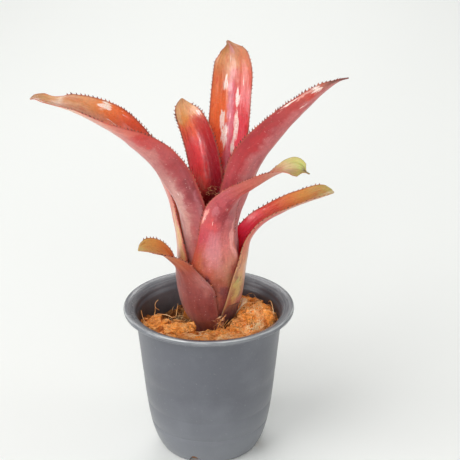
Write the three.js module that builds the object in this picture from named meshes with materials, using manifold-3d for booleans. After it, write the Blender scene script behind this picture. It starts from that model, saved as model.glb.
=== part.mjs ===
// A potted bromeliad: one rosette of channelled, spine-edged leaves on a short stem, which stands in a
// plastic nursery pot filled with coconut husk. Millimetres, +Z up. The origin is the middle of the pot's
// underside, and the plant's axis stands PLANT_X to the right of it.
import * as THREE from "three";
import { mergeVertices } from "three/addons/utils/BufferGeometryUtils.js";
import Module from "manifold-3d";

const wasm = await Module();
wasm.setup();

// Driving dimensions
const POT_HEIGHT = 109;
const POT_RIM_RADIUS = 60;
const POT_MOUTH_RADIUS = 51.3;
const POT_LIP_RISE = 2.6; // the lip climbs this much from the mouth to its outer edge
const POT_SKIRT = 3.4; // height of the lip's turned-down edge
const POT_WALL = 1.4;
const POT_FLOOR = 2.2;
const POT_WALL_SLOPE = 0.09; // outward lean of the wall above the rounded foot
const POT_FOOT_PULL = 7.3; // the foot draws in by this much, fading upwards over POT_FOOT_FADE
const POT_FOOT_FADE = 12.5;
const POT_SIDES = 48;
const DRAIN_HOLES = 4;
const DRAIN_RADIUS = 4.5;
const DRAIN_RING_RADIUS = 34;
const DRAIN_FIRST_AZIMUTH = -107;

const CLEARANCE = 0.3; // between pieces that touch
const PLANT_X = 2;
const PLANT_FOOT = 91; // height of the lowest leaf base; the plant's own heights count from here
const BED_TOP = 98; // the bed's mean height
const HOLE_RADIUS = 16.4; // the plain hole that the stem and the leaf bases stand in
const HOLE_FLOOR = 68;

const TRUNK = [ // outer radius of the clasped sheaths by height above the plant's foot
  [0, 12.9], [6, 14.4], [12, 18], [20, 21.2], [30, 23.4], [41, 24.7], [52, 26.6], [62, 26.7], [79, 26.2],
  [96, 27],
];
const SHEATH_SPACING = 1.65; // radial step from one sheath to the next one inside it
const BLADE_THICKNESS = 0.8;
const BLADE_COLUMNS = 8;
const SHEATH_STEP = 8;
const SPINE_PITCH = 5.2;
const SPINE_LENGTH = 1.5;
const SMOOTH_TIP = 6; // the spines end this far before the tip, unless a leaf has its own smoothTip
const TIP_STEP = 2.4;
const TIP_LENGTH = 12;

const STEM_RADIUS = 11.6; // at the bed, tapering to STEM_TIP_RADIUS
const STEM_TIP_RADIUS = 3;
const STEM_TOP = 36; // above the plant's foot
const STEM_FOOT = HOLE_FLOOR + CLEARANCE;

const radians = THREE.MathUtils.degToRad;
const clamp = THREE.MathUtils.clamp;

// Value of a [position, value] table at a position, on straight stretches.
function tableValue(table, at) {
  let i = 1;
  while (i < table.length - 1 && table[i][0] < at) i++;
  const [a, b] = [table[i - 1], table[i]];
  return THREE.MathUtils.mapLinear(at, a[0], b[0], a[1], b[1]);
}

function solidOf(geometry) {
  const bare = geometry.clone();
  bare.deleteAttribute("normal");
  bare.deleteAttribute("uv");
  const merged = mergeVertices(bare, 1e-4);
  return new wasm.Manifold(new wasm.Mesh({
    numProp: 3,
    vertProperties: merged.attributes.position.array,
    triVerts: new Uint32Array(merged.index.array),
  }));
}

function geometryOf(solid) {
  const mesh = solid.getMesh();
  const geometry = new THREE.BufferGeometry();
  geometry.setAttribute("position", new THREE.BufferAttribute(mesh.vertProperties, 3));
  geometry.setIndex(new THREE.BufferAttribute(mesh.triVerts, 1));
  geometry.computeVertexNormals();
  return geometry;
}

function indexedGeometry(points, triangles) {
  const geometry = new THREE.BufferGeometry();
  const numbers = points.flatMap((p) => p.toArray());
  geometry.setAttribute("position", new THREE.Float32BufferAttribute(numbers, 3));
  geometry.setIndex(triangles.flat());
  geometry.computeVertexNormals();
  return geometry;
}

// A closed solid from a stack of rings, each an array of equally many points, with a point at each end.
function ringSolid(first, rings, last) {
  const sides = rings[0].length;
  const points = [first, ...rings.flat(), last];
  const at = (ring, side) => 1 + ring * sides + (side % sides);
  const triangles = [];
  for (let side = 0; side < sides; side++) {
    triangles.push([0, at(0, side), at(0, side + 1)]);
    for (let ring = 1; ring < rings.length; ring++) {
      triangles.push([at(ring - 1, side), at(ring, side), at(ring, side + 1)]);
      triangles.push([at(ring - 1, side), at(ring, side + 1), at(ring - 1, side + 1)]);
    }
    triangles.push([at(rings.length - 1, side), points.length - 1, at(rings.length - 1, side + 1)]);
  }
  return indexedGeometry(points, triangles);
}

// Pot

const potOuter = (height) => POT_MOUTH_RADIUS + POT_WALL - 1.2
  - POT_WALL_SLOPE * (POT_HEIGHT - 6 - height) - POT_FOOT_PULL * Math.exp(-height / POT_FOOT_FADE);
const potInner = (height) => potOuter(height) - POT_WALL;
const WALL_HEIGHTS = [1.5, 5, 10, 18, 32, 60, POT_HEIGHT - 9];

function makePot() {
  const mouth = POT_HEIGHT - POT_LIP_RISE;
  const point = (r, z) => new THREE.Vector2(r, z);
  const profile = [
    point(0, 0),
    point(potOuter(0) - 1.4, 0),
    ...WALL_HEIGHTS.map((z) => point(potOuter(z), z)),
    point(POT_MOUTH_RADIUS + POT_WALL - 0.4, mouth - 3),
    point(POT_MOUTH_RADIUS + POT_WALL + 1.6, mouth - 1.5),
    point(POT_RIM_RADIUS - 2.6, POT_HEIGHT - 2.2),
    point(POT_RIM_RADIUS - POT_WALL, POT_HEIGHT - POT_SKIRT),
    point(POT_RIM_RADIUS, POT_HEIGHT - POT_SKIRT),
    point(POT_RIM_RADIUS, POT_HEIGHT - 0.9),
    point(POT_RIM_RADIUS - 0.9, POT_HEIGHT),
    point(POT_RIM_RADIUS - 3.4, POT_HEIGHT - 0.5),
    point(POT_MOUTH_RADIUS + 2.2, mouth + 0.5),
    point(POT_MOUTH_RADIUS, mouth - 0.7),
    ...WALL_HEIGHTS.slice(1).reverse().map((z) => point(potInner(z), z)),
    point(potInner(POT_FLOOR) - 2, POT_FLOOR),
    point(0, POT_FLOOR),
  ];
  let pot = solidOf(new THREE.LatheGeometry(profile, POT_SIDES).rotateX(Math.PI / 2));
  for (let i = 0; i < DRAIN_HOLES; i++) {
    const azimuth = radians(DRAIN_FIRST_AZIMUTH + (i * 360) / DRAIN_HOLES);
    const drill = new THREE.CylinderGeometry(DRAIN_RADIUS, DRAIN_RADIUS, 16, 12).rotateX(Math.PI / 2);
    drill.translate(DRAIN_RING_RADIUS * Math.cos(azimuth), DRAIN_RING_RADIUS * Math.sin(azimuth), 1);
    pot = pot.subtract(solidOf(drill));
  }
  return geometryOf(pot);
}

// Husk bed: fills the pot, with a low hollow at the back left, a mound at the right and chips on top

const BED_RINGS = [20, 26, 33, 40, 45];

function bedHeight(x, y) {
  const ripple = 1.1 * Math.sin(x * 0.42 + 1.3) * Math.cos(y * 0.37 - 0.6) + 0.7 * Math.sin((x + y) * 0.71);
  const hollow = 15 * Math.exp(-((x + 24) ** 2 + (y - 28) ** 2) / 520);
  const mound = 4.5 * Math.exp(-((x - 27) ** 2 + (y + 8) ** 2) / 240);
  return BED_TOP - 3 + ripple - hollow + mound;
}

function chip(x, y, z, size, azimuth, tilt) {
  const box = new THREE.BoxGeometry(size[0], size[1], size[2]);
  box.rotateX(radians(tilt)).rotateZ(radians(azimuth)).translate(x, y, z);
  return solidOf(box);
}

const CHIPS = [ // [x, y, z, [length, width, height], azimuth, tilt]
  [-20, -23, 98, [22, 11, 9], 6, 14],
  [-34, -16, 98, [17, 8, 6], 48, -12],
  [-30, -31, 96, [24, 5, 4], -36, 8],
  [-8, -36, 96, [26, 6, 4], -8, 10],
  [16, -34, 96, [20, 7, 5], 14, -8],
  [30, -13.5, 100.5, [15, 14, 12], 20, 12],
  [35.5, -3, 101.5, [13, 11, 11], 50, -10],
  [27.5, 3, 100, [9, 11, 10], 12, 6],
  [23, -25, 98, [13, 9, 8], -18, 8],
  [41, -14, 99, [5, 12, 17], 20, 12],
  [29.5, 15, 99, [6, 6, 11], 18, -10],
  [38, 10, 96, [14, 9, 6], 80, 10],
  [12, 32, 95, [18, 9, 7], 12, 14],
  [30, 27, 94, [13, 10, 6], 44, -12],
  [-12, 26, 89, [16, 8, 6], 62, 20],
  [-38, 5, 91, [14, 8, 6], 84, -14],
];

// A ring of points; height and radius may each be a number or depend on the point.
function bedRing(radius, height, centre) {
  return Array.from({ length: POT_SIDES }, (_, side) => {
    const angle = (side / POT_SIDES) * 2 * Math.PI;
    const [c, s] = [Math.cos(angle), Math.sin(angle)];
    const top = height ?? bedHeight(centre + radius * c, radius * s);
    return new THREE.Vector3(centre + radius * c, radius * s, top);
  });
}

function makeBed() {
  const wallTop = bedRing(1, 0, 0).map((p) => {
    const z = bedHeight(p.x * potInner(BED_TOP), p.y * potInner(BED_TOP));
    return p.multiplyScalar(potInner(z) - CLEARANCE).setZ(z);
  });
  const foot = WALL_HEIGHTS.slice(1, 6).reverse().map((z) => bedRing(potInner(z) - CLEARANCE, z, 0));
  const rings = [
    bedRing(HOLE_RADIUS - 2, HOLE_FLOOR, PLANT_X),
    bedRing(HOLE_RADIUS, HOLE_FLOOR + 4, PLANT_X),
    bedRing(HOLE_RADIUS, null, PLANT_X),
    ...BED_RINGS.map((r, i) => bedRing(r, null, PLANT_X * (1 - (i + 1) / BED_RINGS.length))),
    wallTop,
    ...foot,
    bedRing(potInner(POT_FLOOR) - 2.4, POT_FLOOR + CLEARANCE, 0),
  ];
  let bed = solidOf(ringSolid(
    new THREE.Vector3(PLANT_X, 0, HOLE_FLOOR), rings, new THREE.Vector3(0, 0, POT_FLOOR + CLEARANCE)));
  for (const [x, y, z, size, azimuth, tilt] of CHIPS) bed = bed.add(chip(x, y, z, size, azimuth, tilt));
  return geometryOf(bed);
}

// Stem

function makeStem() {
  const top = PLANT_FOOT + STEM_TOP;
  const profile = [[0, STEM_FOOT], [7, STEM_FOOT], [10.4, STEM_FOOT + 4], [STEM_RADIUS, STEM_FOOT + 12],
    [STEM_RADIUS, PLANT_FOOT], [STEM_TIP_RADIUS, top - 2], [0, top]];
  const points = profile.map(([r, z]) => new THREE.Vector2(r, z));
  const turned = new THREE.LatheGeometry(points, 20).rotateX(Math.PI / 2);
  return geometryOf(solidOf(turned.translate(PLANT_X, 0, 0)));
}

const stemRadius = (height) => THREE.MathUtils.mapLinear(
  clamp(height, 0, STEM_TOP), 0, STEM_TOP - 2, STEM_RADIUS, STEM_TIP_RADIUS);

// Leaves

// A closed solid from a sheet: its points, the direction of its thickness at each, and its triangles.
function thickened(points, directions, triangles, thickness) {
  const count = points.length;
  const shifted = (way) => points.map(
    (p, i) => p.clone().addScaledVector(directions[i], way * thickness / 2));
  const edges = new Map();
  const all = [];
  for (const [a, b, c] of triangles) {
    all.push([a, b, c], [a + count, c + count, b + count]);
    for (const [from, to] of [[a, b], [b, c], [c, a]]) {
      if (edges.has(to + "_" + from)) edges.delete(to + "_" + from);
      else edges.set(from + "_" + to, [from, to]);
    }
  }
  for (const [from, to] of edges.values()) {
    all.push([to, from, from + count], [to, from + count, to + count]);
  }
  return indexedGeometry([...shifted(1), ...shifted(-1)], all);
}

// Stations of a leaf: [azimuth, distance from the axis, height, half width, edge angle, roll, skew]. The
// sheath's stations follow the trunk, one layer in for each rank. The edge angle is how far a half of the
// section has turned up by its edge. Roll turns the section about the keel and lifts the edge on the
// anticlockwise side, and skew shifts the blade towards that side.
function leafStations(leaf) {
  const inset = leaf.rank * SHEATH_SPACING;
  const radiusAt = (z) => tableValue(TRUNK, z) - inset;
  let root = 0;
  while (radiusAt(root) < stemRadius(root) + CLEARANCE + BLADE_THICKNESS * 0.8) root += 0.5;
  const heights = TRUNK.map((row) => row[0]).filter((z) => z > root + 3 && z < leaf.sheathTop - 3);
  const sheath = [root, ...heights, leaf.sheathTop].map((z) => {
    const share = (z - root) / (leaf.sheathTop - root);
    const turn = THREE.MathUtils.lerp(leaf.sheathTurn[0], leaf.sheathTurn[1], share);
    const radius = radiusAt(z);
    return [leaf.azimuth, radius, z, radius * radians(turn), turn, 0, 0, 0];
  });
  const blade = leaf.blade.map((row, i) => [...row.slice(0, 6), row[6] ?? 0, Math.min(1, (i + 1) / 2)]);
  return [...sheath, ...blade];
}

// Cubic through the stations by distance along them, for each of their values.
function sampler(stations) {
  const rows = stations.map(([azimuth, radius, height, width, turn, roll, skew, open]) => {
    const angle = radians(azimuth);
    return [PLANT_X + radius * Math.cos(angle), radius * Math.sin(angle), PLANT_FOOT + height,
      width, radians(turn), radians(roll), skew, open, angle];
  });
  const at = [0];
  for (let i = 1; i < rows.length; i++) {
    at.push(at[i - 1] + Math.hypot(...[0, 1, 2].map((k) => rows[i][k] - rows[i - 1][k])));
  }
  const last = rows.length - 1;
  const slope = (i, k) => {
    const [low, high] = [Math.max(0, i - 1), Math.min(last, i + 1)];
    return (rows[high][k] - rows[low][k]) / (at[high] - at[low]);
  };
  const values = (s) => {
    let i = 0;
    while (i < last - 1 && at[i + 1] < s) i++;
    const gap = at[i + 1] - at[i];
    const f = (s - at[i]) / gap;
    const [f2, f3] = [f * f, f * f * f];
    return rows[0].map((_, k) => (2 * f3 - 3 * f2 + 1) * rows[i][k] + (f3 - 2 * f2 + f) * gap * slope(i, k)
      + (3 * f2 - 2 * f3) * rows[i + 1][k] + (f3 - f2) * gap * slope(i + 1, k));
  };
  return { length: at[last], values, at };
}

// One cross-section: its points from edge to edge and the direction of its thickness at each.
function leafSection(curve, s) {
  const place = (at) => new THREE.Vector3(...curve.values(clamp(at, 0, curve.length)).slice(0, 3));
  const along = place(s + 0.5).sub(place(s - 0.5)).normalize();
  const [, , , width, turn, roll, skew, rawOpen, azimuth] = curve.values(s);
  const open = clamp(rawOpen, 0, 1);
  const outward = new THREE.Vector3(Math.cos(azimuth), Math.sin(azimuth), 0);
  const climb = Math.asin(clamp(along.z, -1, 1));
  const tipped = outward.clone().multiplyScalar(-Math.sin(climb)).setZ(Math.cos(climb));
  tipped.addScaledVector(along, -tipped.dot(along)).normalize();
  const inner = outward.clone().negate().lerp(tipped, open).normalize();
  const axis = new THREE.Vector3(0, 0, 1).lerp(along, open).normalize();
  inner.applyAxisAngle(axis, roll);
  const across = inner.clone().cross(axis).normalize();
  const half = BLADE_COLUMNS / 2;
  const keel = place(s);
  const flank = (side) => {
    const row = [];
    const reach = width * (1 + side * skew);
    let point = keel.clone();
    for (let j = 1; j <= half; j++) {
      const angle = turn * ((j - 0.5) / half) ** (1 - 0.5 * open);
      point = point.clone().addScaledVector(across, side * Math.cos(angle) * reach / half)
        .addScaledVector(inner, Math.sin(angle) * reach / half);
      const edge = turn * (j / half) ** (1 - 0.5 * open);
      const [c, s] = [Math.cos(edge), side * Math.sin(edge)];
      const facing = inner.clone().multiplyScalar(c).addScaledVector(across, -s);
      const onward = across.clone().multiplyScalar(side * c).addScaledVector(inner, side * s);
      row.push([point, facing, onward]);
    }
    return row;
  };
  const row = [...flank(-1).reverse(), [keel, inner.clone(), across.clone()], ...flank(1)];
  return {
    points: row.map((r) => r[0]), directions: row.map((r) => r[1]),
    edges: [row[0][2], row[row.length - 1][2]], along, width,
  };
}

function makeLeaf(leaf) {
  const stations = leafStations(leaf);
  const curve = sampler(stations);
  const bladeStart = curve.at[stations.length - leaf.blade.length - 1];
  const rows = [];
  for (let s = 0; s < curve.length - 0.5;) {
    rows.push(s);
    if (s < bladeStart) s = Math.min(bladeStart, s + SHEATH_STEP);
    else s += curve.length - s > TIP_LENGTH ? SPINE_PITCH : TIP_STEP;
  }
  rows.push(curve.length);

  const sections = rows.map((s) => leafSection(curve, s));
  const points = sections.flatMap((section) => section.points);
  const directions = sections.flatMap((section) => section.directions);
  const triangles = [];
  const at = (i, j) => i * (BLADE_COLUMNS + 1) + j;
  for (let i = 0; i < rows.length - 1; i++) {
    for (let j = 0; j < BLADE_COLUMNS; j++) {
      triangles.push([at(i, j), at(i + 1, j), at(i + 1, j + 1)]);
      triangles.push([at(i, j), at(i + 1, j + 1), at(i, j + 1)]);
    }
    const { edges, along, width } = sections[i];
    const spineStop = curve.length - (leaf.smoothTip ?? SMOOTH_TIP);
    if (rows[i] < bladeStart + leaf.spineStart || width < 3 || rows[i] > spineStop) continue;
    for (const side of [0, 1]) {
      const j = side * BLADE_COLUMNS;
      const [a, b] = [at(i, j), at(i + 1, j)];
      points.push(points[a].clone().add(points[b]).multiplyScalar(0.5)
        .addScaledVector(edges[side], SPINE_LENGTH).addScaledVector(along, 0.8));
      directions.push(directions[a].clone());
      triangles.push(side ? [a, b, points.length - 1] : [a, points.length - 1, b]);
    }
  }
  return thickened(points, directions, triangles, BLADE_THICKNESS);
}

// Leaves from the outside of the rosette to the inside, after the remains of two old ones at its foot.
const LEAVES = {
  old_sheath_stub: {
    azimuth: -48, rank: 0, sheathTop: 14, sheathTurn: [18.5, 18.5], spineStart: Infinity, color: "#5a2a38",
    blade: [[-48, 20.6, 18.5, 6.8, 18, 0], [-47, 21.8, 24, 5, 15, 0, 0.2]],
  },
  dry_sheath_flap: {
    azimuth: -14, rank: 0, sheathTop: 13, sheathTurn: [13, 12], spineStart: Infinity, color: "#d8cbb0",
    blade: [[-17, 21, 17.5, 4.5, 15, 0], [-21, 23.3, 22.5, 4, 10, 28], [-18, 25.4, 24.5, 1.8, 5, 45]],
  },
  leaf_front_left_short: {
    azimuth: -140, rank: 0, sheathTop: 40, sheathTurn: [70, 53], spineStart: -6, color: "#a04a4c",
    blade: [
      [-140, 28.4, 51, 13.4, 50, 0], [-140, 35.6, 60, 12, 48, -10], [-140, 44, 68, 10.8, 42, -20],
      [-140, 53, 73, 8.8, 34, -22, -0.05], [-140, 58, 75, 5, 25, -20, -0.1],
      [-140, 60.8, 75.4, 2, 15, -20, -0.1], [-140, 62.2, 75.5, 0.6, 15, -20]],
  },
  leaf_right_low: {
    azimuth: 16, rank: 1, sheathTop: 54, sheathTurn: [95, 61.5], spineStart: 0, color: "#c4565c",
    blade: [
      [17, 28.7, 65, 15, 61, 0], [18, 38.5, 74.5, 10.8, 64, 7], [18, 55, 82, 9.7, 62, 13],
      [18, 70, 86.5, 9, 58, 15], [18, 81, 89, 8.6, 50, 15], [18, 87.5, 90.6, 6.4, 36, 13],
      [18, 90.3, 91.2, 2.4, 15, 10]],
  },
  leaf_back_left: {
    azimuth: 152, rank: 2, sheathTop: 64, sheathTurn: [105, 70], spineStart: -8, color: "#c86a68",
    blade: [
      [152, 27, 76, 18.3, 63, 0, 0.04], [151, 35, 98, 16, 57, 2, 0.05],
      [150, 45.5, 114, 13.5, 58, 3, 0.03],
      [149, 58, 126, 11, 55, 0], [148, 72, 133, 8.5, 45, 0], [148, 82, 137, 5.5, 30, 0],
      [148, 86, 138.5, 1.2, 15, 0], [148, 88, 139, 0.5, 15, 0]],
  },
  leaf_front: {
    azimuth: -80, rank: 3, sheathTop: 72, sheathTurn: [85, 36],
    spineStart: 6, smoothTip: 21, color: "#c9505a",
    blade: [
      [-74, 26, 93, 13.5, 60, -10], [-65, 36, 107, 9.6, 70, -18], [-57, 48, 117.8, 7.4, 64, -10],
      [-50, 57, 126, 7, 50, 4], [-45.5, 63.5, 131, 7.4, 38, 22], [-42.5, 68.2, 133, 8, 32, 32],
      [-41, 71.8, 133.4, 7.4, 30, 40], [-40, 75, 133, 5, 20, 40], [-40, 77, 132.4, 1.1, 15, 40],
      [-40, 80.5, 131.6, 0.5, 15, 40]],
  },
  leaf_left_long: {
    azimuth: -158, rank: 4, sheathTop: 74, sheathTurn: [100, 74],
    spineStart: 0, smoothTip: 22, color: "#c4525a",
    blade: [
      [-160, 24, 95, 20.4, 77, 9], [-162, 36, 117, 20.6, 81, 18], [-163, 53, 138, 19, 77, -2],
      [-163, 74, 156, 16.2, 70, -29], [-163.5, 92, 167.5, 10, 62, -32], [-163.5, 98, 169.8, 6.6, 55, -32],
      [-164, 104, 172, 4.6, 38, -30], [-164.5, 110, 174, 4.8, 30, -25, -0.1],
      [-165, 114, 175.3, 2.6, 20, -20, -0.2], [-165, 117, 174.8, 0.5, 15, 0]],
  },
  leaf_right_upper: {
    azimuth: -12, rank: 5, sheathTop: 78, sheathTurn: [105, 70], spineStart: 0, color: "#cc4a52",
    blade: [
      [-12, 23, 99, 18.6, 73, -33], [-12, 32.3, 122.7, 18.4, 73, -40, -0.05],
      [-12, 49.2, 146.3, 14.4, 70, -37, -0.06], [-12, 68, 167.9, 10.6, 58, -27],
      [-12, 78.7, 178, 7.4, 45, -18], [-12, 85, 182.6, 3, 30, -8], [-12, 90, 184.5, 0.5, 15, 0]],
  },
  leaf_back_tall: {
    azimuth: 62, rank: 6, sheathTop: 74, sheathTurn: [110, 85], spineStart: 0, color: "#d4503c",
    blade: [
      [61, 19, 98, 18.5, 62, 8], [60, 23.5, 122, 17.5, 52, 18], [59, 26.5, 145, 16.2, 45, 22],
      [59, 29, 164, 15.3, 38, 22], [59.5, 31.3, 177, 14.4, 32, 22], [61, 31.7, 186.5, 12.4, 26, 22],
      [62, 31, 192.5, 8.6, 20, 22, -0.06], [64, 29.9, 196.5, 3.6, 15, 22, 0.4],
      [67, 28.9, 198.7, 0.6, 15, 22]],
  },
  leaf_inner: {
    azimuth: 116, rank: 7, sheathTop: 68, sheathTurn: [115, 90], spineStart: 0, color: "#c8403c",
    blade: [
      [117, 9.5, 98, 15.5, 75, 0, 0.05], [123, 10, 116.4, 16.1, 66, -15, 0.1],
      [131, 13.6, 132.8, 14.9, 60, -22, 0.09], [134, 20.4, 145.5, 12.2, 50, -22, 0.03],
      [134, 25.6, 153, 8.8, 38, -20], [133, 27.8, 157.8, 4.6, 25, -15],
      [132, 28.6, 160.8, 0.8, 15, 0]],
  },
};

const group = new THREE.Group();

function addPiece(name, geometry, color, roughness) {
  const mesh = new THREE.Mesh(geometry, new THREE.MeshStandardMaterial({ color, roughness, metalness: 0 }));
  mesh.name = name;
  group.add(mesh);
}

addPiece("pot", makePot(), "#63666b", 0.55);
addPiece("husk_bed", makeBed(), "#c07a45", 0.95);
addPiece("stem", makeStem(), "#9a8a5a", 0.8);
for (const [name, leaf] of Object.entries(LEAVES)) addPiece(name, makeLeaf(leaf), leaf.color, 0.35);

export default group;
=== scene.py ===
import math
import random

import bpy
import numpy as np
from mathutils import Matrix, Vector, noise


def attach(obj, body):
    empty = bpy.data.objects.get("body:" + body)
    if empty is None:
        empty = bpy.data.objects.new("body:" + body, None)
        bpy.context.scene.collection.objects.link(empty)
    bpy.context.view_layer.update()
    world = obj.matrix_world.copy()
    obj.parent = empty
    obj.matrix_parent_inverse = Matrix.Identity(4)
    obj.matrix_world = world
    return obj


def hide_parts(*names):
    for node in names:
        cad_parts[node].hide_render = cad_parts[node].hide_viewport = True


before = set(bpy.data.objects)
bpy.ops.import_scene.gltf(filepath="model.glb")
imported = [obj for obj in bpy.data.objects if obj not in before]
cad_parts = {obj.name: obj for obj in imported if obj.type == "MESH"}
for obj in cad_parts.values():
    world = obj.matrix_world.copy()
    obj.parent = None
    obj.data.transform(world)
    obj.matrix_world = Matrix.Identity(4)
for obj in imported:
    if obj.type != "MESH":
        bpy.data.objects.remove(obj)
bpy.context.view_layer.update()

MM = 0.001

# The studio: a pale seamless sheet under the pot in a bright white room. A soft lamp stands high on the left,
# dim ones fill from in front and the sides, two narrow windows streak the wet leaves, and lamps behind light
# the rim and the sheet. The camera looks down 22 degrees from the front, with no focus blur.
SHEET_WHITE = "#f2f3f0"
ROOM_WHITE = "#f6f8f7"
ROOM_LIGHT = 0.34
SHEET_SIZE = 9
SHEET_DROP = 0.0002
CAMERA_PLACE = (0.0014471, -0.7224727, 0.4552399)
CAMERA_TILT = math.radians(68.07)
CAMERA_TURN = math.radians(-1.067)
CAMERA_LENS = 88.81


def linear(code):
    """Linear colour of an sRGB hex value."""
    parts = [int(code[i:i + 2], 16) / 255 for i in (1, 3, 5)]
    return [p / 12.92 if p <= 0.04045 else ((p + 0.055) / 1.055) ** 2.4 for p in parts] + [1.0]


def add_node(tree, kind, inputs=None, stops=None, **settings):
    """Adds a node. Each input is a value, an output socket that feeds it, or a node whose first output feeds
    it. Stops are a ramp's colours."""
    made = tree.nodes.new("ShaderNode" + kind)
    for key, value in settings.items():
        setattr(made, key, value)
    for key, value in (inputs or {}).items():
        if isinstance(value, bpy.types.Node):
            value = value.outputs[0]
        if isinstance(value, bpy.types.NodeSocket):
            tree.links.new(value, made.inputs[key])
        else:
            made.inputs[key].default_value = value
    if stops:
        ramp = made.color_ramp.elements
        while len(ramp) < len(stops):
            ramp.new(0.5)
        for element, (at, code) in zip(ramp, stops):
            element.position = at
            element.color = linear(code)
    return made


def new_material(name):
    """A material with its node tree emptied, and the tree."""
    made = bpy.data.materials.new(name)
    made.use_nodes = True
    made.node_tree.nodes.clear()
    return made, made.node_tree


bpy.ops.object.select_all(action="DESELECT")
bpy.ops.mesh.primitive_plane_add(size=SHEET_SIZE, location=(0, 0, -SHEET_DROP))
sheet = bpy.context.object
sheet.name = "studio_sheet"
sheet_paper, tree = new_material("matt_backdrop_paper")
shader = add_node(tree, "BsdfPrincipled", {"Base Color": linear(SHEET_WHITE), "Roughness": 0.85})
add_node(tree, "OutputMaterial", {"Surface": shader})
sheet.data.materials.append(sheet_paper)

room = bpy.data.worlds.new("white_room")
room.use_nodes = True
room.node_tree.nodes["Background"].inputs["Color"].default_value = linear(ROOM_WHITE)
room.node_tree.nodes["Background"].inputs["Strength"].default_value = ROOM_LIGHT
bpy.context.scene.world = room
bpy.context.scene.view_settings.view_transform = "Standard"

LAMPS = [  # name, place, aim, width and height in metres, watts
    ("key_lamp", (-0.85, -0.95, 1.35), (0, 0, 0.15), 0.8, 0.8, 7),
    ("front_fill", (0.1, -1.7, 0.35), (0, 0, 0.12), 1.2, 0.5, 8),
    ("left_fill", (-1.3, -0.35, 0.28), (0, 0, 0.1), 0.5, 0.7, 5),
    ("right_fill", (1.3, -0.15, 0.45), (0, 0, 0.1), 0.5, 0.9, 2.6),
    ("rim_lamp", (-0.15, 0.9, 1.2), (0, 0, 0.1), 0.9, 0.4, 4.5),
    ("backdrop_lamp", (0, 1.9, 1.4), (0, 1.9, 0), 1.2, 0.5, 10.5),
    ("left_window", (-0.42, -1.4, 0.45), (0, 0, 0.2), 0.12, 0.7, 2.4),
    ("right_window", (-0.12, -1.45, 0.5), (0, 0, 0.2), 0.12, 0.7, 2.4),
]
for name, place, aim, width, height, watts in LAMPS:
    facing = (Vector(aim) - Vector(place)).to_track_quat("-Z", "Y").to_euler()
    bpy.ops.object.light_add(type="AREA", location=place, rotation=facing)
    lamp = bpy.context.object
    lamp.name = name
    lamp.data.shape = "RECTANGLE"
    lamp.data.size = width
    lamp.data.size_y = height
    lamp.data.energy = watts
facing = Vector((0.5, 0.3, -0.75)).to_track_quat("-Z", "Y").to_euler()
bpy.ops.object.light_add(type="SUN", location=(-0.5, -0.3, 0.9), rotation=facing)
bpy.context.object.name = "skylight"
bpy.context.object.data.energy = 0.7
bpy.context.object.data.angle = math.radians(50)

bpy.ops.object.camera_add(location=CAMERA_PLACE, rotation=(CAMERA_TILT, 0, CAMERA_TURN))
camera = bpy.context.object
camera.name = "front_camera"
camera.data.sensor_width = 36
camera.data.lens = CAMERA_LENS
camera.data.clip_end = 20
bpy.context.scene.camera = camera

# The pot: a thin-walled nursery pot of grey polypropylene, injection moulded in one piece. Its lip flares out
# from the mouth and turns down, its foot is rounded, and four drain holes break the foot's edge. Three faint
# steps ring the wall where the mould's parts met, and a short seam marks the lip.
POT_WALL = 1.4
POT_SLOPE = 0.09
POT_SIDES = 144
MOULD_STEPS = (22, 38, 60)
STEP_DEPTH = 0.22
DRAIN_HOLES = 4
DRAIN_RADIUS = 4.5
DRAIN_RING = 34
FIRST_DRAIN = -107
LIP_SEAM = -101.5
LIP_EDGE = 60.1
SEAM_SIZE = (0.9, 0.6, 6)


def pot_outer(height):
    """Outer radius of the pot's wall, in millimetres."""
    return 51.5 - POT_SLOPE * (103 - height) - 7.3 * math.exp(-height / 12.5)


wall_heights = [0.5, 1.2, 2.4, 4, 6.2, 9, 12.5, 17, 21.6]
wall_outside = [(pot_outer(z), z) for z in wall_heights]
for step in MOULD_STEPS:
    wall_outside += [(pot_outer(step) - STEP_DEPTH, step)]
    wall_outside += [(pot_outer(step + rise), step + rise) for rise in (0.5, 7, 15)]
wall_outside += [(pot_outer(88) + 0.1, 88)]
wall_inside = [(50.9, 102.2), (50.3, 101.6)]
wall_inside += [(pot_outer(z) - POT_WALL, z) for z in (99, 84, 60, 40, 24, 14, 8, 4.5)]
foot_edge = [(pot_outer(0) - 1.2, 0), (pot_outer(0) - 0.4, 0.15)]
inner_floor = [(pot_outer(3) - 2.6, 2.7), (pot_outer(2.2) - 4.5, 2.2), (6, 2.2)]
lip = [
    (pot_outer(99) + 0.1, 99), (52.2, 103.2), (52.9, 104.3), (54.2, 105.1), (56.2, 105.9), (57.6, 106.2),
    (58.2, 105.9), (58.6, 105.5), (59.1, 105.4), (59.6, 105.6), (59.9, 106.1), (60, 106.9), (59.9, 107.7),
    (59.6, 108.4), (59.1, 108.8), (58.4, 109), (57.2, 108.8), (55.2, 108.1), (53.2, 107.1), (52.2, 106.3),
    (51.5, 105.2), (51.1, 103.8)]
pot_profile = foot_edge + wall_outside + lip + wall_inside + inner_floor

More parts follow.
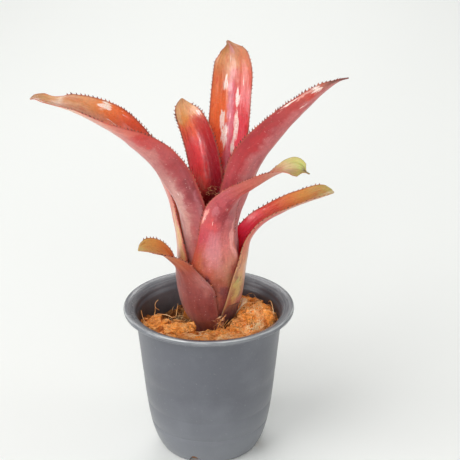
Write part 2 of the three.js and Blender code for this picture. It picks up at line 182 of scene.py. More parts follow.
bpy.ops.object.select_all(action="DESELECT")
bpy.ops.mesh.primitive_circle_add(
    vertices=POT_SIDES, radius=pot_profile[0][0] * MM, fill_type="NGON",
    location=(0, 0, pot_profile[0][1] * MM))
pot = bpy.context.object
pot.name = "nursery_pot"
bpy.ops.object.mode_set(mode="EDIT")
bpy.ops.mesh.select_all(action="SELECT")
for (r0, z0), (r1, z1) in zip(pot_profile, pot_profile[1:]):
    bpy.ops.mesh.extrude_region_move(TRANSFORM_OT_translate={"value": (0, 0, (z1 - z0) * MM)})
    bpy.ops.transform.resize(value=(r1 / r0, r1 / r0, 1))
bpy.ops.mesh.select_all(action="SELECT")
bpy.ops.mesh.normals_make_consistent(inside=False)
bpy.ops.object.mode_set(mode="OBJECT")
bpy.ops.object.transform_apply(location=True, rotation=True, scale=True)


def cut_from(piece, cutter):
    """Takes the cutter's shape out of the piece and removes the cutter."""
    cut = piece.modifiers.new("cut", "BOOLEAN")
    cut.operation = "DIFFERENCE"
    cut.solver = "EXACT"
    cut.object = cutter
    bpy.context.view_layer.objects.active = piece
    bpy.ops.object.modifier_apply(modifier=cut.name)
    bpy.data.objects.remove(cutter)


for i in range(DRAIN_HOLES):
    around = math.radians(FIRST_DRAIN + i * 360 / DRAIN_HOLES)
    bpy.ops.object.select_all(action="DESELECT")
    bpy.ops.mesh.primitive_cylinder_add(
        vertices=32, radius=DRAIN_RADIUS * MM, depth=16 * MM,
        location=(DRAIN_RING * MM * math.cos(around), DRAIN_RING * MM * math.sin(around), 1 * MM))
    cut_from(pot, bpy.context.object)
seam_at = math.radians(LIP_SEAM)
bpy.ops.object.select_all(action="DESELECT")
bpy.ops.mesh.primitive_cube_add(
    size=1, rotation=(0, 0, seam_at),
    location=(LIP_EDGE * MM * math.cos(seam_at), LIP_EDGE * MM * math.sin(seam_at), 107 * MM))
bpy.context.object.scale = [side * MM for side in SEAM_SIZE]
cut_from(pot, bpy.context.object)
bpy.ops.object.select_all(action="DESELECT")
pot.select_set(True)
bpy.ops.object.shade_smooth_by_angle(angle=math.radians(40))

# Polypropylene as it comes from the mould: a satin, slightly waxy grey. Dust and dried water leave paler
# clouds and flecks on it, thicker towards the foot. The lip is rubbed pale in streaks that run round it,
# and a broken pale line along its outer edge is a painted highlight. Painted shade darkens the inside.
pot_plastic, tree = new_material("moulded_grey_polypropylene")
place = add_node(tree, "TexCoord").outputs["Object"]
split = add_node(tree, "SeparateXYZ", {0: place})
height = split.outputs[2]
flat_place = add_node(tree, "CombineXYZ", {0: split.outputs[0], 1: split.outputs[1], 2: 0.0})
radius = add_node(tree, "VectorMath", {0: flat_place}, operation="LENGTH").outputs["Value"]
around = add_node(tree, "Math", {0: split.outputs[1], 1: split.outputs[0]}, operation="ARCTAN2")
clouds = add_node(tree, "TexNoise", {"Vector": place, "Scale": 34.0, "Detail": 5.0, "Roughness": 0.62})
cloud_share = add_node(tree, "MapRange", {0: clouds, 1: 0.45, 2: 0.75, 3: 0.0, 4: 0.42})
dusty = add_node(tree, "Mix", {0: cloud_share, 6: linear("#595b62"), 7: linear("#75787e")},
                 data_type="RGBA").outputs[2]
foot_dust = add_node(tree, "MapRange", {0: height, 1: 0.055, 2: 0.004, 3: 0.0, 4: 0.5})
footed = add_node(tree, "Mix", {0: foot_dust, 6: dusty, 7: linear("#83868b")}, data_type="RGBA").outputs[2]
flecks = add_node(tree, "TexNoise", {"Vector": place, "Scale": 620.0, "Detail": 2.0})
fleck_share = add_node(tree, "MapRange", {0: flecks, 1: 0.66, 2: 0.78, 3: 0.0, 4: 0.22})
flecked = add_node(tree, "Mix", {0: fleck_share, 6: footed, 7: linear("#a6a8a7")},
                   data_type="RGBA").outputs[2]
ring_run = add_node(tree, "CombineXYZ", {0: around, 1: radius, 2: height})
ring_scaled = add_node(tree, "VectorMath", {0: ring_run, 1: (2.6, 900.0, 500.0)}, operation="MULTIPLY")
rubs = add_node(tree, "TexNoise", {"Vector": ring_scaled, "Scale": 1.0, "Detail": 4.0, "Roughness": 0.6})
on_lip = add_node(tree, "MapRange", {0: height, 1: 0.1045, 2: 0.1070, 3: 0.0, 4: 1.0})
rub_share = add_node(tree, "MapRange", {0: rubs, 1: 0.4, 2: 0.64, 3: 0.08, 4: 0.42})
rubbed = add_node(tree, "Math", {0: on_lip, 1: rub_share}, operation="MULTIPLY")
lipped = add_node(tree, "Mix", {0: rubbed, 6: flecked, 7: linear("#a3a6a6")}, data_type="RGBA").outputs[2]
# Painted highlight: a pale line, broken by the rubs, round the outermost turn of the lip.
turned_edge = add_node(tree, "MapRange", {0: radius, 1: 0.0586, 2: 0.0593, 3: 0.0, 4: 1.0})
upper_turn = add_node(tree, "MapRange", {0: height, 1: 0.1079, 2: 0.1084, 3: 0.0, 4: 1.0})
outermost = add_node(tree, "Math", {0: turned_edge, 1: upper_turn}, operation="MULTIPLY")
edge_highlight_breakup = add_node(tree, "MapRange", {0: rubs, 1: 0.36, 2: 0.56, 3: 0.2, 4: 0.9})
painted_edge_highlight = add_node(tree, "Math", {0: outermost, 1: edge_highlight_breakup}, operation="MULTIPLY")
edged = add_node(tree, "Mix", {0: painted_edge_highlight, 6: lipped, 7: linear("#c2c5c6")}, data_type="RGBA").outputs[2]

# Inside, the wall's own taper tells the inner face from the outer one. There painted shade darkens the wall
# in patches, deeper further down.
taper = add_node(tree, "Math", {0: height, 1: POT_SLOPE}, operation="MULTIPLY")
shell_radius = add_node(tree, "Math", {0: radius, 1: taper}, operation="SUBTRACT")
within = add_node(tree, "MapRange", {0: shell_radius, 1: 0.0420, 2: 0.0412, 3: 0.0, 4: 1.0})
above_foot = add_node(tree, "MapRange", {0: height, 1: 0.05, 2: 0.06, 3: 0.0, 4: 1.0})
inside = add_node(tree, "Math", {0: within, 1: above_foot}, operation="MULTIPLY")
below_lip = add_node(tree, "MapRange", {0: height, 1: 0.085, 2: 0.1065, 3: 0.9, 4: 0.2})
inside_noise = add_node(tree, "TexNoise", {"Vector": place, "Scale": 150.0, "Detail": 6.0, "Roughness": 0.7})
painted_shade_patches = add_node(tree, "MapRange", {0: inside_noise, 1: 0.36, 2: 0.6, 3: 0.45, 4: 1.0})
painted_shade_depth = add_node(tree, "Math", {0: below_lip, 1: painted_shade_patches}, operation="MULTIPLY")
painted_inside_shade = add_node(tree, "Math", {0: inside, 1: painted_shade_depth}, operation="MULTIPLY")
shaded = add_node(tree, "Mix", {0: painted_inside_shade, 6: edged, 7: linear("#46474c")},
                  data_type="RGBA").outputs[2]
skin = add_node(tree, "TexNoise", {"Vector": place, "Scale": 420.0, "Detail": 3.0})
skin_bump = add_node(tree, "Bump", {"Strength": 0.2, "Distance": 0.0003, "Height": skin})
rub_bump = add_node(tree, "Bump", {
    "Strength": 0.12, "Distance": 0.0002, "Height": rubs, "Normal": skin_bump})
rough = add_node(tree, "MapRange", {0: clouds, 1: 0.3, 2: 0.75, 3: 0.27, 4: 0.44})
lip_polish = add_node(tree, "Math", {0: on_lip, 1: 0.1}, operation="MULTIPLY")
polished = add_node(tree, "Math", {0: rough, 1: lip_polish}, operation="SUBTRACT")
shader = add_node(tree, "BsdfPrincipled", {"Base Color": shaded, "Roughness": polished, "Normal": rub_bump})
add_node(tree, "OutputMaterial", {"Surface": shader})
pot.data.materials.clear()
pot.data.materials.append(pot_plastic)
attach(pot, "root")
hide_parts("pot")

# The husk bed: coconut husk chopped to chips and crumb, which fills the pot and lies higher at the right than
# at the back left. Chips lie and stand on it, each a block of cork-like pith and fibre, and loose coir
# threads cross it. The plant stands in a hole near its middle.
BED_TOP = 98
BED_WALL_TOP = 94
BED_RING = 0.9
LEVEL_RIM = 48
PLANT_X = 2
HOLE_RADIUS = 16.4
HOLE_BEVEL = 2.4
HOLE_SLOPE = 9
HOLE_FLOOR = 70
CHIPS_SPREAD = 800
CHIPS_IN_ALL = 1500
THREADS_SPREAD = 330
THREADS_IN_ALL = 700


def bed_height(x, y):
    """Height of the bed at a place, all in millimetres."""
    ripple = 1.1 * math.sin(x * 0.42 + 1.3) * math.cos(y * 0.37 - 0.6) + 0.7 * math.sin((x + y) * 0.71)
    hollow = 15 * math.exp(-((x + 24) ** 2 + (y - 28) ** 2) / 520)
    mound = 8 * math.exp(-((x - 28) ** 2 + (y + 8) ** 2) / 260)
    front = 3.4 * min(1, max(0, (-y - 22) / 14))
    return BED_TOP - 3 + ripple - hollow + mound + front


bpy.ops.object.select_all(action="DESELECT")
bed_wall = [(pot_outer(z) - POT_WALL - 0.4, z) for z in (3, 6, 10, 18, 32, 60, BED_WALL_TOP)]
bpy.ops.mesh.primitive_circle_add(
    vertices=128, radius=bed_wall[0][0] * MM, fill_type="NGON", location=(0, 0, bed_wall[0][1] * MM))
husk_bed = bpy.context.object
husk_bed.name = "husk_crumb"
bpy.ops.object.mode_set(mode="EDIT")
bpy.ops.mesh.select_all(action="SELECT")
for (r0, z0), (r1, z1) in zip(bed_wall, bed_wall[1:]):
    bpy.ops.mesh.extrude_region_move(TRANSFORM_OT_translate={"value": (0, 0, (z1 - z0) * MM)})
    bpy.ops.transform.resize(value=(r1 / r0, r1 / r0, 1))
top_radius = bed_wall[-1][0]
while top_radius > 3.5:
    bpy.ops.mesh.extrude_region_move(TRANSFORM_OT_translate={"value": (0, 0, 0)})
    bpy.ops.transform.resize(value=(1 - BED_RING / top_radius, 1 - BED_RING / top_radius, 1))
    top_radius -= BED_RING
bpy.ops.mesh.select_all(action="SELECT")
bpy.ops.mesh.normals_make_consistent(inside=False)
bpy.ops.object.mode_set(mode="OBJECT")
bpy.ops.object.transform_apply(location=True, rotation=True, scale=True)
for vertex in husk_bed.data.vertices:
    if vertex.co.z < (BED_WALL_TOP - 0.5) * MM:
        continue
    x, y = vertex.co.x / MM, vertex.co.y / MM
    grain = noise.noise((x * 0.24, y * 0.24, 3)) * 1.3 + noise.noise((x * 0.6, y * 0.6, 9)) * 1.1
    grain += noise.noise((x * 1.3, y * 1.3, 5)) * 0.6
    height = bed_height(x, y) + (0 if math.hypot(x, y) > LEVEL_RIM else grain)
    from_stem = math.hypot(x - PLANT_X, y)
    if from_stem < HOLE_RADIUS:
        height = HOLE_FLOOR + max(0, from_stem - HOLE_RADIUS + HOLE_BEVEL) * HOLE_SLOPE
    vertex.co.z = height * MM
bpy.ops.object.select_all(action="DESELECT")
husk_bed.select_set(True)
bpy.ops.object.shade_smooth_by_angle(angle=math.radians(50))


def husk_chip(place, size, azimuth, tilt, seed, cuts):
    """A rough, worn block of husk, all in millimetres and degrees. Returns its object."""
    bpy.ops.object.select_all(action="DESELECT")
    bpy.ops.mesh.primitive_cube_add(size=1)
    block = bpy.context.object
    bpy.ops.object.mode_set(mode="EDIT")
    bpy.ops.mesh.select_all(action="SELECT")
    bpy.ops.mesh.subdivide(number_cuts=cuts)
    bpy.ops.object.mode_set(mode="OBJECT")
    turn = Matrix.Rotation(math.radians(azimuth), 4, "Z") @ Matrix.Rotation(math.radians(tilt), 4, "X")
    for vertex in block.data.vertices:
        point = Vector([vertex.co[k] * size[k] for k in range(3)])
        painted_edge_highlight = Vector([2 * vertex.co[k] for k in range(3)])
        point *= 1 - 0.1 * max(0, painted_edge_highlight.length - 1.15)
        at = point * 0.16 + Vector((seed * 7.3, seed * 1.7, seed * 3.1))
        least = min(size)
        point += noise.noise_vector(at) * 0.2 * least + noise.noise_vector(at * 3.5) * min(0.9, 0.12 * least)
        point += noise.noise_vector(at * 8) * min(0.5, 0.08 * least)
        vertex.co = (turn @ point + Vector(place)) * MM
    return block


CHIPS = [  # x, y, z, size, azimuth, tilt
    [-20, -23, 98, [22, 11, 9], 6, 14],
    [-34, -16, 98, [17, 8, 6], 48, -12],
    [-30, -31, 96, [24, 5, 4], -36, 8],
    [-8, -36, 96, [26, 6, 4], -8, 10],
    [16, -34, 96, [20, 7, 5], 14, -8],
    [30, -13.5, 100.5, [15, 14, 12], 20, 12],
    [35.5, -3, 101.5, [13, 11, 11], 50, -10],
    [27.5, 3, 100, [9, 11, 10], 12, 6],
    [23, -25, 98, [13, 9, 8], -18, 8],
    [41, -14, 99, [5, 12, 17], 20, 12],
    [29.5, 15, 99, [6, 6, 11], 18, -10],
    [38, 10, 96, [14, 9, 6], 80, 10],
    [12, 32, 95, [18, 9, 7], 12, 14],
    [30, 27, 94, [13, 10, 6], 44, -12],
    [-12, 26, 89, [16, 8, 6], 62, 20],
    [-38, 5, 91, [14, 8, 6], 84, -14],
]
draw = random.Random(11)
noise.seed_set(11)  # noise_vector starts from the clock without it
chips = [husk_chip(chip[:3], chip[3], chip[4], chip[5], i + 1, 13) for i, chip in enumerate(CHIPS)]


def on_chips(x, y):
    """Height of the top of the bed with the big chips of the right-hand mound on it, in millimetres."""
    return bed_height(x, y) + 3.2 * math.exp(-((x - 32) ** 2 + (y + 8) ** 2) / 150)


crumb_shapes = []
for i in range(10):
    size = [1, draw.uniform(0.55, 0.95), draw.uniform(0.4, 0.75)]
    crumb_shapes.append(husk_chip((0, 0, 0), size, 0, 0, i + 40, 2))
while len(chips) < CHIPS_IN_ALL:
    around, out = draw.uniform(0, 2 * math.pi), 47 * math.sqrt(draw.random())
    x, y = out * math.cos(around), out * math.sin(around)
    if len(chips) > CHIPS_SPREAD:
        x, y = 27 + draw.gauss(0, 9), -14 + draw.gauss(0, 11)
        out = math.hypot(x, y)
    length = draw.uniform(1, 3) if draw.random() < 0.88 else draw.uniform(3.5, 7)
    if math.hypot(x - PLANT_X, y) < 20 + length / 2 or out > 47.8 - length / 2:
        continue
    crumb = draw.choice(crumb_shapes).copy()
    crumb.data = crumb.data.copy()
    turn = Matrix.Rotation(draw.uniform(0, math.pi), 4, "Z")
    tilt = Matrix.Rotation(math.radians(draw.uniform(-35, 35)), 4, "X")
    seat = Matrix.Translation(Vector((x, y, on_chips(x, y) + 0.6)) * MM)
    crumb.data.transform(seat @ turn @ tilt @ Matrix.Scale(length, 4))
    bpy.context.scene.collection.objects.link(crumb)
    chips.append(crumb)
for shape in crumb_shapes:
    bpy.data.objects.remove(shape)
bpy.ops.object.select_all(action="DESELECT")
for chip in chips:
    chip.select_set(True)
bpy.context.view_layer.objects.active = chips[0]
bpy.ops.object.join()
husk_chips = bpy.context.object
husk_chips.name = "husk_chips"
bpy.ops.object.shade_smooth_by_angle(angle=math.radians(40))

# Coir: the husk's own threads, a third of a millimetre thick, springy and pale gold. They lie thickest in a
# mat along the front of the bed, and a few stand up against the pot's wall and the plant's foot.
STANDING_THREADS = [  # thickness, points
    (1.5, [(43, 27, 96), (44.5, 12, 104), (45.5, -2, 103), (46.2, -13, 101)]),
    (1.4, [(-36, 20, 94), (-38.5, 15, 99), (-38, 12, 104), (-36, 10, 107)]),
    (1.4, [(-40, -2, 97), (-38.6, 6, 98), (-38.5, 15, 99.4)]),
    (1.4, [(-37, 8, 97), (-30, 4, 98), (-24, 0, 98.4), (-22.8, 4, 101), (-22, 8, 105)]),
    (1.5, [(-48, 4, 101.5), (-46.5, -2, 98.5), (-44, -9, 98.4)]),
    (1.6, [(4, -17.5, 106), (8, -19.6, 102), (12, -23, 98.3)]),
    (1.5, [(5.5, -21, 96), (7, -20.6, 103), (11, -19.4, 108.5)]),
    (1.2, [(9, -21, 96), (10, -20.6, 101), (13, -18.8, 105)]),
]


def strand_bundle(name, radius):
    """An empty curve whose strands are round and have this radius in millimetres."""
    bundle = bpy.data.curves.new(name, "CURVE")
    bundle.dimensions = "3D"
    bundle.bevel_depth = radius * MM
    bundle.bevel_resolution = 1
    bundle.resolution_u = 3
    bundle.use_fill_caps = True
    return bundle


def lay_strand(bundle, points, thickness, tip=0.5):
    """Adds a strand through these points, in millimetres, which tapers at its tip."""
    strand = bundle.splines.new("BEZIER")
    strand.bezier_points.add(len(points) - 1)
    for knot, point in zip(strand.bezier_points, points):
        knot.co = Vector(point) * MM
        knot.handle_left_type = knot.handle_right_type = "AUTO"
        knot.radius = thickness
    strand.bezier_points[-1].radius = thickness * tip


def strands_as_mesh(bundle):
    """The bundle as one mesh object of the same name."""
    strands = bpy.data.objects.new(bundle.name, bundle)
    bpy.context.scene.collection.objects.link(strands)
    bpy.ops.object.select_all(action="DESELECT")
    strands.select_set(True)
    bpy.context.view_layer.objects.active = strands
    bpy.ops.object.convert(target="MESH")
    bpy.ops.object.shade_smooth()
    return bpy.context.object


coir = strand_bundle("coir_threads", 0.17)
for thickness, points in STANDING_THREADS:
    lay_strand(coir, points, thickness)
while len(coir.splines) < THREADS_IN_ALL:
    around, out = draw.uniform(0, 2 * math.pi), 46 * math.sqrt(draw.random())
    heading = draw.uniform(0, 2 * math.pi)
    if len(coir.splines) > THREADS_SPREAD:
        around, out = math.radians(draw.uniform(-160, -25)), draw.uniform(34, 47)
        heading = around + math.pi / 2 + draw.gauss(0, 0.35)
    x, y = out * math.cos(around), out * math.sin(around)
    bend, rise, steps = draw.gauss(0, 0.35), draw.choice((0.3, 0.6, 0.9, 1.5, 4)), draw.randint(3, 6)
    points = []
    for step in range(steps):
        share = step / (steps - 1)
        lift = 1.4 + rise * math.sin(math.pi * share) if rise < 4 else 0.5 + rise * share
        points.append((x, y, on_chips(x, y) + lift + 1.2 * (math.hypot(x - 28, y + 12) < 16)))
        x += 3.4 * math.cos(heading)
        y += 3.4 * math.sin(heading)
        heading += bend
    if all(math.hypot(px - PLANT_X, py) > 19.5 and math.hypot(px, py) < 48.5 for px, py, _ in points):
        lay_strand(coir, points, draw.uniform(0.6, 1.2))
coir_threads = strands_as_mesh(coir)


def husk_material(name, ground, pale, brown, pit_shade):
    """Coconut husk: dry cork-like pith veined with pale fibre, which breaks into grains of a millimetre and
    more, with painted shade in the gaps between them and in scattered pits. Low down in the pot painted
    shade, with damp, turns all of it dark brown."""
    made, tree = new_material(name)
    place = add_node(tree, "TexCoord").outputs["Object"]
    broad = add_node(tree, "TexNoise", {"Vector": place, "Scale": 130.0, "Detail": 5.0, "Roughness": 0.7})
    tone = add_node(tree, "ValToRGB", {0: broad}, stops=[(0.33, brown), (0.45, ground), (0.64, pale)])
    combed = add_node(tree, "Mapping", {0: place, 2: (0.2, 0.35, 0.6), 3: (150, 1100, 1100)})
    fibre = add_node(tree, "TexNoise", {"Vector": combed, "Scale": 1.0, "Detail": 4.0})
    fibre_share = add_node(tree, "MapRange", {0: fibre, 1: 0.52, 2: 0.7, 3: 0.0, 4: 0.45})
    veined = add_node(tree, "Mix", {0: fibre_share, 6: tone, 7: linear(pale)}, data_type="RGBA").outputs[2]
    wander = add_node(tree, "TexNoise", {"Vector": place, "Scale": 500.0, "Detail": 2.0})
    nudge = add_node(tree, "VectorMath", {0: wander.outputs["Color"], 1: (0.0012, 0.0012, 0.0012)},
                     operation="MULTIPLY")
    loose = add_node(tree, "VectorMath", {0: place, 1: nudge}, operation="ADD")
    grains = add_node(tree, "TexVoronoi", {"Vector": loose, "Scale": 760.0})
    grain_tint = add_node(tree, "SeparateXYZ", {0: grains.outputs["Color"]}).outputs[0]
    grain_light = add_node(tree, "MapRange", {0: grain_tint, 1: 0.0, 2: 1.0, 3: 0.78, 4: 1.18})
    grained = add_node(tree, "VectorMath", {0: veined, 1: grain_light}, operation="MULTIPLY")
    # Painted shade: dark brown in the gaps between grains and darker still in scattered pits.
    gaps = add_node(tree, "TexVoronoi", {"Vector": loose, "Scale": 760.0},
                    feature="DISTANCE_TO_EDGE").outputs["Distance"]
    gap_depth = add_node(tree, "MapRange", {0: gaps, 1: 0.0, 2: 0.12, 3: 1.0, 4: 0.0})
    crumbled = add_node(tree, "TexNoise", {"Vector": place, "Scale": 300.0, "Detail": 3.0})
    gap_here = add_node(tree, "MapRange", {0: crumbled, 1: 0.42, 2: 0.62, 3: 0.0, 4: pit_shade})
    painted_gap_shade = add_node(tree, "Math", {0: gap_depth, 1: gap_here}, operation="MULTIPLY")
    gap_shaded = add_node(tree, "Mix", {0: painted_gap_shade, 6: grained, 7: linear("#5c2c12")},
                      data_type="RGBA").outputs[2]
    painted_pit_shade = add_node(tree, "MapRange", {0: crumbled, 1: 0.66, 2: 0.72, 3: 0.0, 4: pit_shade})
    pit_shaded = add_node(tree, "Mix", {0: painted_pit_shade, 6: gap_shaded, 7: linear("#3c1a0c")},
                        data_type="RGBA").outputs[2]
    height = add_node(tree, "SeparateXYZ", {0: place}).outputs[2]
    # Painted shade, with damp: dark brown low in the pot, where the bed drops into its back-left hollow.
    painted_low_shade = add_node(tree, "MapRange", {0: height, 1: 0.094, 2: 0.086, 3: 0.0, 4: 0.75})
    low_shaded = add_node(tree, "Mix", {0: painted_low_shade, 6: pit_shaded, 7: linear("#2e211c")}, data_type="RGBA").outputs[2]
    relief = add_node(tree, "Math", {0: fibre, 1: gaps}, operation="ADD")
    bump = add_node(tree, "Bump", {"Strength": 1.0, "Distance": 0.0008, "Height": relief})
    shader = add_node(tree, "BsdfPrincipled", {
        "Base Color": low_shaded, "Roughness": 0.9, "Specular IOR Level": 0.2, "Normal": bump})
    add_node(tree, "OutputMaterial", {"Surface": shader})
    return made


def fibre_material(name, scale, detail, stops, roughness):
    """A dry fibre or horn, whose tone wanders between the stops' colours along it."""
    made, tree = new_material(name)
    place = add_node(tree, "TexCoord").outputs["Object"]
    tint = add_node(tree, "TexNoise", {"Vector": place, "Scale": scale, "Detail": detail})
    tone = add_node(tree, "ValToRGB", {0: tint}, stops=stops)
    shader = add_node(tree, "BsdfPrincipled", {"Base Color": tone, "Roughness": roughness})
    add_node(tree, "OutputMaterial", {"Surface": shader})
    return made


husk_bed.data.materials.clear()
husk_bed.data.materials.append(husk_material("coconut_husk_crumb", "#fc9a40", "#ffbc74", "#b4642c", 0.8))
husk_chips.data.materials.clear()
husk_chips.data.materials.append(husk_material("coconut_husk_pith", "#ff9e44", "#ffc07c", "#c87030", 0.7))
coir_threads.data.materials.append(fibre_material(
    "dry_coir_fibre", 60.0, 2.0, [(0.36, "#d08840"), (0.5, "#fcb468"), (0.62, "#ffe0ac")], 0.6))
for piece in (husk_bed, husk_chips, coir_threads):
    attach(piece, "root")
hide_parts("husk_bed")

# The stem: the short woody heart of the plant, which every leaf clasps and which stands in the husk. Only
# its tip can be seen, deep in the cup. It is living tissue, pale green to brown.
stem_flesh, tree = new_material("pale_stem_tissue")
place = add_node(tree, "TexCoord").outputs["Object"]
mottle = add_node(tree, "TexNoise", {"Vector": place, "Scale": 220.0, "Detail": 4.0})
tone = add_node(tree, "ValToRGB", {0: mottle},
                stops=[(0.35, "#6d5a34"), (0.55, "#9c8f55"), (0.7, "#b7ad72")])
bump = add_node(tree, "Bump", {"Strength": 0.3, "Distance": 0.0005, "Height": mottle})
shader = add_node(tree, "BsdfPrincipled", {"Base Color": tone, "Roughness": 0.6, "Normal": bump})
add_node(tree, "OutputMaterial", {"Surface": shader})
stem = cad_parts["stem"]
stem.data.materials.clear()
stem.data.materials.append(stem_flesh)

# The leaves: each has a sheath that clasps the ones inside it and a stiff, channelled blade, with forward
# hooked brown spines along both edges. A leaf is one sheet of living tissue under a hard skin, thickest at
# its keel. The first is the short dull one at the front left, the outermost.
PLANT_FOOT = 91
CLEARANCE = 0.3
HALF_SHEATH = 0.64
SHEATH_SPACING = 1.65
BLADE_THICKNESS = 0.8
STEM_FOOT_RADIUS = 11.6
STEM_TIP_RADIUS = 3
STEM_TOP = 36
TRUNK = [(0, 12.9), (6, 14.4), (12, 18), (20, 21.2), (30, 23.4), (41, 24.7),
         (52, 26.6), (62, 26.7), (79, 26.2), (96, 27)]
HALF_COLUMNS = 13
ROW_STEP = 1.35
NARROWEST_SPINED = 2.6
SPINELESS = 999


def clasping_radius(height, rank):
    """Radius of the middle of a sheath, by height above the plant's foot and rank from the outside."""
    return float(np.interp(height, *zip(*TRUNK))) - rank * SHEATH_SPACING


def leaf_stations(leaf):
    """Rows of x, y, z, half width, edge angle, roll, skew, openness and azimuth, from root to tip. The root
    is the lowest place where the sheath clears the stem."""
    root = 0.0
    while True:
        core = np.interp(root, (0, STEM_TOP - 2), (STEM_FOOT_RADIUS, STEM_TIP_RADIUS))
        if clasping_radius(root, leaf["rank"]) >= core + CLEARANCE + HALF_SHEATH:
            break
        root += 0.5
    rows = []
    heights = [z for z, _ in TRUNK if root + 3 < z < leaf["sheath_top"] - 3]
    for z in [root, *heights, leaf["sheath_top"]]:
        share = (z - root) / (leaf["sheath_top"] - root)
        turn = leaf["sheath_turn"][0] * (1 - share) + leaf["sheath_turn"][1] * share
        radius = clasping_radius(z, leaf["rank"])
        rows.append((leaf["azimuth"], radius, z, radius * math.radians(turn), turn, 0, 0, 0))
    for i, row in enumerate(leaf["blade"]):
        rows.append((*row[:6], row[6] if len(row) > 6 else 0, min(1, (i + 1) / 2)))
    table = []
    for azimuth, radius, z, width, turn, roll, skew, opened in rows:
        angle = math.radians(azimuth)
        table.append((PLANT_X + radius * math.cos(angle), radius * math.sin(angle), PLANT_FOOT + z,
                      width, math.radians(turn), math.radians(roll), skew, opened, angle))
    return np.array(table)


class LeafPath:
    """A smooth path through a leaf's stations, and the leaf's cross-section anywhere on it."""

    def __init__(self, leaf):
        self.rows = leaf_stations(leaf)
        steps = np.linalg.norm(np.diff(self.rows[:, :3], axis=0), axis=1)
        self.at = np.concatenate([[0], np.cumsum(steps)])
        self.length = float(self.at[-1])
        self.blade_start = float(self.at[len(self.rows) - len(leaf["blade"]) - 1])
        last = len(self.rows) - 1
        low, high = np.maximum(np.arange(last + 1) - 1, 0), np.minimum(np.arange(last + 1) + 1, last)
        self.slopes = (self.rows[high] - self.rows[low]) / (self.at[high] - self.at[low])[:, None]

    def values(self, s):
        i = int(np.clip(np.searchsorted(self.at, s) - 1, 0, len(self.at) - 2))
        gap = self.at[i + 1] - self.at[i]
        f = (s - self.at[i]) / gap
        here, next_one = 2 * f ** 3 - 3 * f ** 2 + 1, 3 * f ** 2 - 2 * f ** 3
        here_slope, next_slope = f ** 3 - 2 * f ** 2 + f, f ** 3 - f ** 2
        return (here * self.rows[i] + here_slope * gap * self.slopes[i]
                + next_one * self.rows[i + 1] + next_slope * gap * self.slopes[i + 1])

    def section(self, s):
        """Points from edge to edge in millimetres, the two edges' outward directions, the way along, the
        facing of the keel and the half width."""
        ahead, behind = (self.values(np.clip(s + d, 0, self.length))[:3] for d in (0.5, -0.5))
        along = Vector(ahead - behind).normalized()
        x, y, z, width, turn, roll, skew, opened, azimuth = self.values(s)
        opened = min(max(opened, 0), 1)
        outward = Vector((math.cos(azimuth), math.sin(azimuth), 0))
        climb = math.asin(max(-1, min(1, along.z)))
        tipped = outward * -math.sin(climb) + Vector((0, 0, math.cos(climb)))
        tipped = (tipped - along * tipped.dot(along)).normalized()
        inner = (-outward).lerp(tipped, opened).normalized()
        axis = Vector((0, 0, 1)).lerp(along, opened).normalized()
        inner = Matrix.Rotation(roll, 3, axis) @ inner
        across = inner.cross(axis).normalized()
        sides, edges = [], []
        for side in (-1, 1):
            reach, point, flank = width * (1 + side * skew), Vector((x, y, z)), []
            for j in range(1, HALF_COLUMNS + 1):
                angle = turn * ((j - 0.5) / HALF_COLUMNS) ** (1 - 0.5 * opened)
                slant = across * side * math.cos(angle) + inner * math.sin(angle)
                point = point + slant * reach / HALF_COLUMNS
                flank.append(point)
            sides.append(flank)
            edges.append(across * side * math.cos(turn) + inner * math.sin(turn))
        points = sides[0][::-1] + [Vector((x, y, z))] + sides[1]
        return points, edges, along, inner, width


def spine_prototype():
    """A hooked spine 2 mm long on a broad foot, which points along +Y and leans towards +X."""
    bpy.ops.object.select_all(action="DESELECT")
    bpy.ops.mesh.primitive_cone_add(vertices=6, radius1=1.0 * MM, radius2=0.42 * MM, depth=1.0 * MM,
                                    rotation=(-math.pi / 2, 0, 0), location=(0, 0.2 * MM, 0))
    made = bpy.context.object
    bpy.ops.object.transform_apply(location=True, rotation=True, scale=True)
    bpy.ops.object.mode_set(mode="EDIT")
    bpy.ops.mesh.select_all(action="DESELECT")
    bpy.ops.object.mode_set(mode="OBJECT")
    for face in made.data.polygons:
        face.select = face.normal.y > 0.9
    bpy.ops.object.mode_set(mode="EDIT")
    bpy.ops.mesh.extrude_region_move(TRANSFORM_OT_translate={"value": (0.6 * MM, 1.0 * MM, 0)})
    bpy.ops.transform.resize(value=(0.14, 0.14, 0.14))
    bpy.ops.object.mode_set(mode="OBJECT")
    made.data.transform(Matrix.Diagonal((1, 1, 0.5, 1)))
    bpy.ops.object.shade_smooth_by_angle(angle=math.radians(60))
    return made


spine = spine_prototype()
spine_horn = fibre_material(
    "brown_spine_horn", 260.0, 1.0, [(0.35, "#48160f"), (0.52, "#82301f"), (0.66, "#b46446")], 0.5)
spine.data.materials.append(spine_horn)


